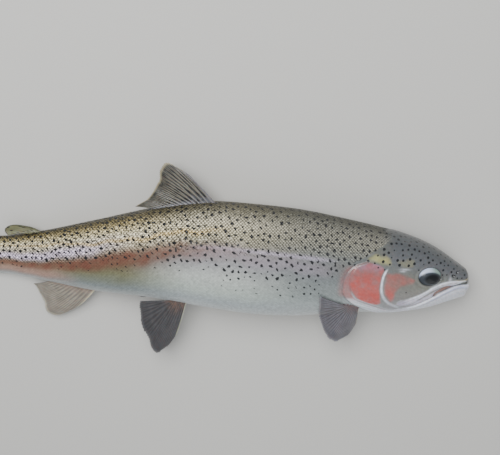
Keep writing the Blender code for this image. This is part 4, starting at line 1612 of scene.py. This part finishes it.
@dataclass(frozen=True)
class FinFinish:
    """Fin skin: wet, thin and slightly horny, stretched over paler bony rays.

    Its rim, leading edge and root have colours of their own. A streak gives how strong
    the dark dashes between the rays are, and the spot chance how many of the cells, of the
    given size in millimetres, hold a black spot. Blotches are given by their number to
    the millimetre.
    """

    name: str
    membrane: str
    ray: str
    edge: str
    lead: str
    root: str
    spot_chance: float = 0.0
    streak: float = 0.0
    dash: str = "0e0f12"
    spot: str = "101216"
    spot_cell: float = 6.0
    blotches: float = 0.13

    def marks(self, tree: Tree, place: Socket, ridge: Socket) -> list[tuple[Socket, str]]:
        """Adds the nodes of the dashes and of the black spots, where the fin has them.

        Args:
            tree: The material's node tree.
            place: Where a point is on the fin, in millimetres.
            ridge: How strongly a ray shows there.

        Returns:
            (mask, hex colour) pairs.
        """
        made = []
        if self.streak:
            drawn_out = add(
                tree, "VectorMath", {1: (0.5, 0.13, 0.0)}, {0: place}, operation="MULTIPLY"
            )
            noise = add(tree, "TexNoise", {"Scale": 1.0, "Detail": 1.0}, {"Vector": drawn_out})
            dash = add(tree, "MapRange", {1: 0.48, 2: 0.58, 4: self.streak}, {0: noise})
            web = add(tree, "MapRange", {1: 0.75, 2: 0.35}, {0: ridge})
            made.append((dash, web, self.dash))
        if self.spot_chance:
            cells = add(
                tree,
                "TexVoronoi",
                {"Scale": 1 / self.spot_cell, "Randomness": 0.8},
                {"Vector": place},
                voronoi_dimensions="2D",
            ).outputs
            luck = add(tree, "SeparateColor", links={0: cells["Color"]}).outputs[0]
            kept = add(tree, "Math", {1: self.spot_chance}, {0: luck}, operation="LESS_THAN")
            disc = add(tree, "MapRange", {1: 0.27, 2: 0.19}, {0: cells["Distance"]})
            made.append((kept, disc, self.spot))
        return [
            (add(tree, "Math", links={0: one, 1: other}, operation="MULTIPLY").outputs[0], code)
            for one, other, code in made
        ]

    def material(self) -> bpy.types.Material:
        """The finished material.

        Returns:
            The material.
        """
        made, tree, shader = new_material(
            self.name,
            {
                "Roughness": 0.36,
                "Coat Weight": 0.35,
                "Coat Roughness": 0.15,
                "Subsurface Weight": 0.12,
                "Subsurface Scale": 0.001,
            },
        )
        read = add(tree, "Attribute", attribute_name="fin").outputs["Vector"]
        spread, out, ridge = add(tree, "SeparateXYZ", links={0: read}).outputs
        place = add(tree, "Attribute", attribute_name="web").outputs["Vector"]
        blotch = add(tree, "TexNoise", {"Scale": self.blotches, "Detail": 4.0}, {"Vector": place})
        near_root, rim, front = (
            add(tree, "MapRange", values, {0: source}, interpolation_type="SMOOTHSTEP")
            for values, source in (
                ({1: 0.34, 2: 0.02, 4: 0.75}, out),
                ({1: 0.93, 2: 1.0, 4: 0.7}, out),
                ({1: 0.05, 2: 0.012, 4: 0.85}, spread),
            )
        )
        uneven = add(tree, "MapRange", {1: 0.35, 2: 0.6, 3: 0.25, 4: 1.0}, {0: blotch})
        base = add(tree, "Math", links={0: near_root, 1: uneven}, operation="MULTIPLY")
        colour = lay_over(
            tree,
            self.membrane,
            [
                (ridge, self.ray),
                (base, self.root),
                *self.marks(tree, place, ridge),
                (rim, self.edge),
                (front, self.lead),
            ],
        )
        shade = add(tree, "MapRange", {1: 0.3, 2: 0.7, 3: 0.8, 4: 1.18}, {0: blotch})
        colour = add(
            tree, "Mix", {0: 1.0}, {6: colour, 7: shade}, data_type="RGBA", blend_type="MULTIPLY"
        ).outputs[2]
        tree.links.new(colour, shader.inputs["Base Color"])
        joints = add(
            tree,
            "TexWave",
            {"Scale": 0.32, "Distortion": 0.6},
            {"Vector": place},
            bands_direction="Y",
        ).outputs["Fac"]
        notch = add(tree, "Math", links={0: joints, 1: ridge}, operation="MULTIPLY")
        bump = add(tree, "Bump", {"Strength": 0.4, "Distance": 0.3 * MM}, {"Height": notch})
        tree.links.new(bump.outputs[0], shader.inputs["Normal"])
        return made


@dataclass
class RayedFin:
    """One fin: bony rays that branch towards the tips, with skin stretched between.

    It stands for a node. The columns and rows are those of its mesh. Root and tip are how
    thick its skin is there, size is how far it spreads and stands out, and ripple is how
    far it waves, all in millimetres.
    """

    node: str
    surface: Surface
    finish: FinFinish
    rays: int
    columns: int
    root: float
    size: tuple[float, float]
    ripple: float
    seed: int
    rows: int = 44
    tip: float = 0.55

    def ridges(self, a: Array, b: Array) -> Array:
        """How strongly a ray shows at each place, from 0 between rays to 1 on one.

        Args:
            a: Along the fin's root.
            b: From root to tip.

        Returns:
            The strength.
        """
        x = np.abs((a * self.rays) % 1 - 0.5)
        first = 0.25 * ease(b, 0.12, 0.60)
        second = 0.125 * ease(b, 0.45, 1.0)
        x = np.abs(np.abs(x - first) - second)
        width = 0.19 - 0.125 * ease(b, 0.1, 0.9)
        return bell(x, width) * (1 - 0.35 * ease(b, 0.6, 1.0))

    def wall(self, a: Array, b: Array, ridge: Array) -> Array:
        """How thick the fin is.

        Args:
            a: Along the fin's root.
            b: From root to tip.
            ridge: How strongly a ray shows.

        Returns:
            The thickness in millimetres: more at the root, on the rays and in front.
        """
        wall = self.tip + (self.root - self.tip) * np.exp(-b / 0.11)
        wall += 0.45 * ridge * (1 - 0.75 * b)
        wall += 0.5 * bell(a, 0.035) * (1 - 0.5 * b)
        return wall * np.sqrt(np.clip(1 - ease(b, 0.975, 1.0) * 0.6, 0, 1))

    def normals(self, a: Array, b: Array, step: float = 0.004) -> Array:
        """The way the fin's surface faces.

        Args:
            a: Along the fin's root.
            b: From root to tip.
            step: How far to each side the surface is felt.

        Returns:
            Unit rows.
        """
        surface = self.surface
        along = surface(np.minimum(a + step, 1), b) - surface(np.maximum(a - step, 0), b)
        normal = np.cross(surface(a, b + step) - surface(a, np.maximum(b - step, 0)), along)
        return normal / np.linalg.norm(normal, axis=1, keepdims=True)

    def build(self) -> bpy.types.Object:
        """Shapes a grid into the fin, with a wall of its own thickness.

        Returns:
            The fin.
        """
        bm = bmesh.new()
        bmesh.ops.create_grid(bm, x_segments=self.columns, y_segments=self.rows, size=1)
        made = bmesh.ops.extrude_face_region(bm, geom=bm.faces[:])["geom"]
        pushed = [item for item in made if isinstance(item, bmesh.types.BMVert)]
        bmesh.ops.translate(bm, verts=pushed, vec=(0, 0, 1))
        bmesh.ops.recalc_face_normals(bm, faces=bm.faces[:])
        fin = to_object(self.node + "_skin", bm)
        flat = get_points(fin.data)
        a, b = (flat[:, 0] + 1) / 2, (flat[:, 1] + 1) / 2
        side = np.where(flat[:, 2] > 0.5, 1.0, -1.0)
        # The edge is worn: some rays are shorter, and the skin between them is notched
        random = np.random.default_rng(SEED + self.seed)
        worn = random.normal(0, 0.008, self.rays)
        worn = worn[np.clip((a * self.rays).astype(int), 0, self.rays - 1)]
        notch = 0.022 * (1 - self.ridges(a, np.ones(a.shape))) * ease(b, 0.8, 1.0)
        reach = b * (1 + worn * b * b) - notch
        ridge = self.ridges(a, b)
        wave = self.ripple * b * np.sin(a * self.rays * math.pi * 0.5 + 2 * b + self.seed)
        off = side * self.wall(a, b, ridge) / 2 + wave
        points = self.surface(a, reach) + self.normals(a, reach) * off[:, None]
        # Neither face goes through the floor
        points[:, 2] = np.maximum(points[:, 2], 0.02 + 0.25 * (side > 0))
        set_points(fin.data, points)
        face_outwards(fin.data)
        set_attribute(fin.data, "fin", np.stack([a, b, ridge], axis=1))
        web = np.stack([a * self.size[0], b * self.size[1], np.zeros(a.shape)], axis=1)
        set_attribute(fin.data, "web", web)
        return fin


def ray_point(
    root: tuple[Array, Array], angle: Array, bend: float, part: Array, length: Array
) -> tuple[Array, Array]:
    """A point on a fin ray in (s, u).

    Args:
        root: Where the ray starts.
        angle: Degrees up from tailward.
        bend: How many degrees the ray eases by along its length.
        part: How far along the ray, from 0 to 1.
        length: The ray's length.

    Returns:
        The point's s and u.
    """
    turned = np.radians(angle - bend * part / 2)
    return root[0] + part * length * np.cos(turned), root[1] + part * length * np.sin(turned)


def ray_curves(rays: Points) -> list[Curve]:
    """A curve for each number of a fin's rays over their places along the root."""
    return [Curve([(ray[0], ray[k]) for ray in rays]) for k in range(1, len(rays[0]))]


@dataclass
class FinPlan:
    """Where the fins stand and how their rays spread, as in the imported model.

    A ray is given by its place along the fin's root, its length, its angle in degrees up
    from tailward (down, on the belly), and on the paired fins the height of its tip. The
    rays start inside the flesh, by the embed.
    """

    form: TroutForm
    embed: float = 3.0
    tail_start: float = 513.0
    tail_embed: float = 3.4
    dorsal_rays: Points = (
        (0, 39, 49.5), (0.1, 56, 48), (0.2, 53, 43), (0.3, 43, 38), (0.45, 34, 31),
        (0.7, 23, 20), (1, 17, 8),
    )
    adipose_rays: Points = ((0, 14, 38), (0.3, 27, 29), (0.6, 27, 20), (1, 18, 8))
    anal_rays: Points = (
        (0, 28, 56), (0.12, 47, 52), (0.25, 50, 48), (0.5, 38, 40), (0.75, 27, 32),
        (1, 18, 24),
    )
    tail_rays: Points = (
        (0, 64, 26), (0.1, 87, 21), (0.28, 77, 12), (0.5, 64, 0), (0.72, 77, -12),
        (0.9, 87, -21), (1, 64, -26),
    )
    right_pelvic_rays: Points = (
        (0, 40, -79, 34), (0.15, 56, -77, 33), (0.3, 66, -73, 32), (0.5, 65, -68.5, 31),
        (0.7, 52, -60, 31), (0.85, 37, -33, 34), (1, 28.5, -5, 38),
    )
    left_pelvic_rays: Points = (
        (0, 42, -24, 0.5), (0.2, 51, -20, 0.5), (0.5, 50, -14, 0.5), (1, 34, -4, 0.5),
    )
    right_pectoral_rays: Points = (
        (0, 24, -95, 38), (0.2, 41, -87, 36), (0.4, 51, -79, 37), (0.6, 47, -67.5, 39),
        (0.75, 35, -48, 44), (0.88, 26, -12, 52), (1, 26, 18, 60),
    )
    left_pectoral_rays: Points = (
        (0, 56, -27, 0.5), (0.25, 66, -22, 0.5), (0.5, 63, -18, 0.5), (1, 40, -9, 0.5),
    )

    def median(
        self, base: tuple[float, float], up: bool, rays: Points, bend: float, droop: float
    ) -> Surface:
        """The surface of a fin on the midline.

        Args:
            base: The s of its two ends.
            up: Whether it stands on the back.
            rays: Its rays.
            bend: Degrees that each ray eases by.
            droop: Millimetres that the tips sink.

        Returns:
            The surface as a function of (a, b).
        """
        reach, lean = ray_curves(rays)
        side = 1 if up else -1
        edge = self.form.back if up else (lambda s: -self.form.belly(s))

        def at(a: Array, b: Array) -> Array:
            """The surface's points.

            Args:
                a: Along the root, from 0 to 1.
                b: From root to tip.

            Returns:
                The points as rows, in millimetres.
            """
            s = base[0] + (base[1] - base[0]) * a
            length, angle = reach(a) + self.embed, lean(a)
            root = (s, edge(s) - self.embed * np.sin(np.radians(angle)))
            point_s, point_u = ray_point(root, angle, bend, b, length)
            return self.form.posed(point_s, side * point_u, -droop * b * b)

        return at

    def paired(
        self,
        front: tuple[float, float],
        rear: tuple[float, float],
        side: Side,
        rays: Points,
        bend: float,
    ) -> Surface:
        """The surface of a fin on one flank, which falls from the flesh to its tips.

        Args:
            front: (s, u) of the root's front end.
            rear: (s, u) of its rear end.
            side: The flank.
            rays: Its rays.
            bend: Degrees that each ray eases by.

        Returns:
            The surface as a function of (a, b).
        """
        reach, lean, tips = ray_curves(rays)
        form = self.form

        def at(a: Array, b: Array) -> Array:
            """The surface's points.

            Args:
                a: Along the root, from 0 to 1.
                b: From root to tip.

            Returns:
                The points as rows, in millimetres.
            """
            s = front[0] + (rear[0] - front[0]) * a
            u = front[1] + (rear[1] - front[1]) * a
            length, angle = reach(a) + self.embed, lean(a)
            back = np.radians(angle)
            root = (s - self.embed * np.cos(back), u - self.embed * np.sin(back))
            point_s, point_u = ray_point(root, angle, bend, b, length)
            point = form.posed(point_s, point_u, np.zeros(a.shape))
            start = form.height(s) + side.value * form.flank(s, u)
            fallen = b**1.1 if side is Side.RIGHT else 1 - (1 - b) ** 2
            point[:, 2] = start + (tips(a) - start) * fallen
            if side is Side.RIGHT:
                # Over the belly it stays clear of the flesh that it lies on
                risen = np.minimum(1.0, b / 0.2)
                clear = 1.6 * risen - self.embed * (1 - risen)
                over = form.height(point_s) + form.flank(point_s, point_u) + clear
                above = np.maximum(point[:, 2], over)
                point[:, 2] = np.where(point_u > form.belly(point_s), above, point[:, 2])
            return point

        return at

    def tail(self, rays: Points, root: float) -> Surface:
        """The surface of the tail fin.

        Args:
            rays: Its rays, from the top to the bottom.
            root: Half the height of its root.

        Returns:
            The surface as a function of (a, b).
        """
        reach, lean = ray_curves(rays)

        def at(a: Array, b: Array) -> Array:
            """The surface's points.

            Args:
                a: Along the root, from 0 to 1.
                b: From root to tip.

            Returns:
                The points as rows, in millimetres.
            """
            start = (np.full(a.shape, self.tail_start), root * (1 - 2 * a))
            s, u = ray_point(start, lean(a), 0, b, reach(a) + self.tail_embed)
            return self.form.posed(s, u, np.zeros(a.shape))

        return at

    def surfaces(self) -> dict[str, Surface]:
        """The surfaces of the eight fins.

        Returns:
            Each fin's surface by its node.
        """
        right, left = Side.RIGHT, Side.LEFT
        return {
            "dorsal_fin": self.median((257, 318), True, self.dorsal_rays, 10, 3),
            "adipose_fin": self.median((433, 447), True, self.adipose_rays, 20, -3),
            "anal_fin": self.median((376, 424), False, self.anal_rays, 14, 5),
            "pelvic_fin_right": self.paired(
                (282, -47), (300, -44.5), right, self.right_pelvic_rays, -4
            ),
            "pelvic_fin_left": self.paired(
                (282, -45), (300, -42.5), left, self.left_pelvic_rays, -6
            ),
            "pectoral_fin_right": self.paired(
                (110, -30.5), (126, -24.5), right, self.right_pectoral_rays, -4
            ),
            "pectoral_fin_left": self.paired(
                (99, -31), (117, -33), left, self.left_pectoral_rays, -6
            ),
            "tail_fin": self.tail(self.tail_rays, 22.5),
        }

    def fins(self) -> list[RayedFin]:
        """The eight fins.

        Returns:
            The fins, in the order of their seeds.
        """
        dorsal = FinFinish(
            "dorsal_fin_skin", "2f2f2d", "716c5e", "b4a988", "6f6b70", "7c7c86", streak=0.92
        )
        adipose = FinFinish(
            "adipose_fin_skin", "6d6c4c", "77765a", "33342a", "4a4a38", "77764f", spot_chance=0.75
        )
        anal = FinFinish("anal_fin_skin", "77716a", "9a9282", "cfc9b4", "d8d0b2", "9c8678")
        pelvic = FinFinish("pelvic_fin_skin", "38373a", "4b494b", "6b696a", "bcc0a6", "74594a")
        pectoral = FinFinish("pectoral_fin_skin", "4b4a4f", "74717a", "96939a", "b4b0a4", "6c5450")
        tail = FinFinish(
            "tail_fin_skin", "5a5740", "857f60", "55513c", "5f5c48", "7d7558", spot_chance=0.85
        )
        surfaces = self.surfaces()
        # Rays, mesh columns to a ray, thickness at the root, size and ripple
        rows = (
            ("dorsal_fin", dorsal, 14, 22, 2.6, (61, 54), 0.4),
            ("adipose_fin", adipose, 8, 8, 3.2, (30, 27), 0.1),
            ("anal_fin", anal, 12, 20, 2.6, (48, 50), 0.4),
            ("pelvic_fin_right", pelvic, 11, 20, 2.8, (46, 62), 0.4),
            ("pelvic_fin_left", pelvic, 11, 16, 2.4, (40, 50), 0.15),
            ("pectoral_fin_right", pectoral, 14, 20, 2.8, (50, 50), 0.35),
            ("pectoral_fin_left", pectoral, 14, 16, 2.4, (50, 62), 0.15),
            ("tail_fin", tail, 20, 18, 4.6, (90, 84), 0.35),
        )
        return [
            RayedFin(node, surfaces[node], finish, rays, rays * fine, root, size, ripple, k)
            for k, (node, finish, rays, fine, root, size, ripple) in enumerate(rows)
        ]


# ---- eyes


@dataclass(frozen=True)
class EyeFinish:
    """A wet eye: pale above, partly a painted sky reflection, darker below and in a bloom round its
    black pupil.

    Bloom and pupil are ellipses on the unit ball: half their width and height, how far
    below and behind the ball's middle theirs lies, and where their edge begins and ends.
    """

    name: str = "wet_trout_eye"
    pupil: str = "0c0f14"
    bloom: str = "363b42"
    lower: str = "59606a"
    # Pale top of the eye, partly a painted reflection of the sky
    pearl: str = "ccd8f2"
    green: str = "8da29c"
    bloom_form: tuple[float, ...] = (1.0, 0.80, 0.0, 0.20, 1.06, 0.84)
    pupil_form: tuple[float, ...] = (0.66, 0.54, 0.12, 0.16, 1.20, 0.72)

    def disc(self, tree: Tree, gaze: Socket, shape: tuple[float, ...]) -> Socket:
        """Adds the nodes of a soft-edged ellipse.

        Args:
            tree: The material's node tree.
            gaze: Where a point is on the unit ball.
            shape: The ellipse, as the class says.

        Returns:
            Its mask.
        """
        wide, high, along, up, outer, inner = shape
        moved = add(tree, "VectorMath", {1: (along, up, 0.0)}, {0: gaze}, operation="ADD")
        scaled = add(
            tree,
            "VectorMath",
            {1: (1 / wide, 1 / high, 0.0)},
            {0: moved},
            operation="MULTIPLY",
        )
        away = add(tree, "VectorMath", links={0: scaled}, operation="LENGTH")
        near = add(
            tree,
            "MapRange",
            {1: outer, 2: inner},
            {0: away.outputs["Value"]},
            interpolation_type="SMOOTHSTEP",
        )
        return near.outputs[0]

    def material(self) -> bpy.types.Material:
        """The finished material.

        Returns:
            The material.
        """
        made, tree, shader = new_material(
            self.name,
            {
                "Roughness": 0.4,
                "Specular IOR Level": 0.25,
                "Coat Weight": 0.4,
                "Coat Roughness": 0.2,
            },
        )
        gaze = add(tree, "Attribute", attribute_name="gaze").outputs["Vector"]
        along, up, _ = add(tree, "SeparateXYZ", links={0: gaze}).outputs
        noise = add(tree, "TexNoise", {"Scale": 4.0, "Detail": 3.0}, {"Vector": gaze})
        level = add(tree, "Math", {1: 0.22}, {0: noise, 2: up}, operation="MULTIPLY_ADD")
        forward, under = (
            add(tree, "MapRange", values, {0: source}, interpolation_type="SMOOTHSTEP")
            for values, source in (({1: 0.35, 2: -0.5}, along), ({1: 0.3, 2: -0.2}, level))
        )
        colour = lay_over(
            tree,
            self.pearl,
            [
                (forward, self.green),
                (under, self.lower),
                (self.disc(tree, gaze, self.bloom_form), self.bloom),
                (self.disc(tree, gaze, self.pupil_form), self.pupil),
            ],
        )
        tree.links.new(colour, shader.inputs["Base Color"])
        return made


@dataclass
class Eye:
    """An eyeball set in its socket, looking straight out from the flank round it.

    Half its width, height and thickness, and the depth of its middle under the flank,
    are in millimetres.
    """

    form: TroutForm
    relief: HeadRelief
    side: Side
    half: tuple[float, float, float] = (12.7, 9.9, 7.6)
    depth: float = 3.9

    def build(self) -> bpy.types.Object:
        """The eyeball.

        Returns:
            Its object.
        """
        s, u = (np.array([value]) for value in self.relief.eye_place)
        form = self.form
        slope_s = float((form.flank(s + 1, u) - form.flank(s - 1, u))[0])
        slope_u = float((form.flank(s, u + 1) - form.flank(s, u - 1))[0])
        along = Vector((2, 0, slope_s)).normalized()
        outward = along.cross(Vector((0, 2, slope_u)).normalized()).normalized()
        on_flank = Vector((float(s[0]), float(u[0]), float(form.flank(s, u)[0])))
        middle = on_flank - outward * self.depth
        bm = bmesh.new()
        bmesh.ops.create_uvsphere(bm, u_segments=96, v_segments=64, radius=1)
        eye = to_object("eye_ball_" + self.side.name.lower(), bm)
        ball = get_points(eye.data)
        axes = np.array([along, outward.cross(along), outward])
        straight = (ball * np.array(self.half)) @ axes + np.array(middle)
        v = straight[:, 2] * self.side.value
        set_points(eye.data, form.posed(straight[:, 0], straight[:, 1], v))
        face_outwards(eye.data)
        set_attribute(eye.data, "gaze", ball)
        return eye


# ---- the studio


@dataclass
class Studio:
    """A pale floor under soft light, with the camera over the fish's right flank.

    The camera leans towards the back by the tilt and is turned by the roll, in degrees.
    It looks at a point so many millimetres from the snout, from so many metres away, and
    sees half a view of so many metres to each side. The point is aimed_height over the
    floor and then raised in the picture.
    """

    form: TroutForm
    floor: str = "c9c8c4"
    floor_grain: str = "cecdc9"
    sky: str = "e4e7ea"
    sky_strength: float = 0.52
    lit_point: tuple[float, float, float] = (0, 0, 0.03)
    tilt: float = 22.0
    roll: float = 3.7
    distance: float = 0.95
    half_view: float = 0.25
    aimed_s: float = 220.0
    aimed_height: float = 0.0325
    raised: float = 0.0414
    sensor: float = 36.0

    def build(self) -> None:
        """Makes the floor, the lights and the camera."""
        self.ground()
        self.lights()
        self.camera()

    def ground(self) -> None:
        """Lays a matt paper floor."""
        bm = bmesh.new()
        bmesh.ops.create_circle(bm, cap_ends=True, segments=96, radius=6.0)
        ground = to_object("studio_floor", bm)
        made, tree, shader = new_material("matt_paper_floor", {"Roughness": 0.9})
        place = add(tree, "TexCoord").outputs["Object"]
        grain = add(tree, "TexNoise", {"Scale": 900.0}, {"Vector": place})
        stops = ((0.3, self.floor), (0.7, self.floor_grain))
        tone = add(tree, "ValToRGB", links={0: grain}, stops=stops).outputs[0]
        tree.links.new(tone, shader.inputs["Base Color"])
        ground.data.materials.append(made)

    def lights(self) -> None:
        """A wide soft light over the back, a weaker one over the belly, and a pale sky."""
        for name, place, size, power in (
            ("softbox_key", (-0.25, 0.85, 1.30), 1.0, 29.0),
            ("softbox_fill", (0.8, -1.1, 1.0), 1.4, 5.0),
        ):
            lamp = bpy.data.lights.new(name, "AREA")
            lamp.size = size
            lamp.energy = power
            turn = (Vector(self.lit_point) - Vector(place)).to_track_quat("-Z", "Y")
            show(name, lamp).matrix_world = Matrix.Translation(place) @ turn.to_matrix().to_4x4()
        world = bpy.data.worlds.new("pale_sky")
        world.use_nodes = True
        sky = world.node_tree.nodes["Background"]
        sky.inputs["Color"].default_value = linear(self.sky)
        sky.inputs["Strength"].default_value = self.sky_strength
        bpy.context.scene.world = world

    def camera(self) -> None:
        """Aims the camera down on the right flank, leaning towards the back."""
        tilt = math.radians(self.tilt)
        back = Vector((0, math.sin(tilt), math.cos(tilt)))
        turn = Matrix.Rotation(math.radians(self.roll), 3, back)
        right = turn @ Vector((1, 0, 0))
        up = turn @ Vector((0, math.cos(tilt), -math.sin(tilt)))
        aimed_x = (self.form.snout_x - self.aimed_s) * MM
        target = Vector((aimed_x, self.form.midline_y * MM, self.aimed_height)) + up * self.raised
        lens = bpy.data.cameras.new("camera")
        lens.sensor_width = self.sensor
        lens.lens = self.sensor / 2 / (self.half_view / self.distance)
        turned = Matrix((right, up, back)).transposed().to_4x4()
        holder = show("camera", lens)
        holder.matrix_world = Matrix.Translation(target + back * self.distance) @ turned
        bpy.context.scene.camera = holder


def main() -> None:
    """Builds the studio and every piece of the fish, and logs each piece's triangle count."""
    logging.basicConfig(level=logging.INFO, format="%(name)s: %(message)s")
    form = TroutForm()
    relief = HeadRelief()
    Studio(form).build()
    skin = Skin(form, relief, SpotField(form))
    hide = skin.build()
    dress(
        hide,
        WetHide().material(),
        ("head", "lower_jaw", "gill_cover_right", "gill_cover_left", "trunk", "tail_stalk"),
    )
    pearl = PearlScale().material()
    for piece in ScaleCoat(form, skin).build():
        dress(piece, pearl, (), smooth=False)
    wet_eye = EyeFinish().material()
    for side in Side:
        dress(Eye(form, relief, side).build(), wet_eye, ("eye_" + side.name.lower(),))
    finishes: dict[str, bpy.types.Material] = {}
    for fin in FinPlan(form).fins():
        if fin.finish.name not in finishes:
            finishes[fin.finish.name] = fin.finish.material()
        dress(fin.build(), finishes[fin.finish.name], (fin.node,))


if __name__ == "__main__":
    main()
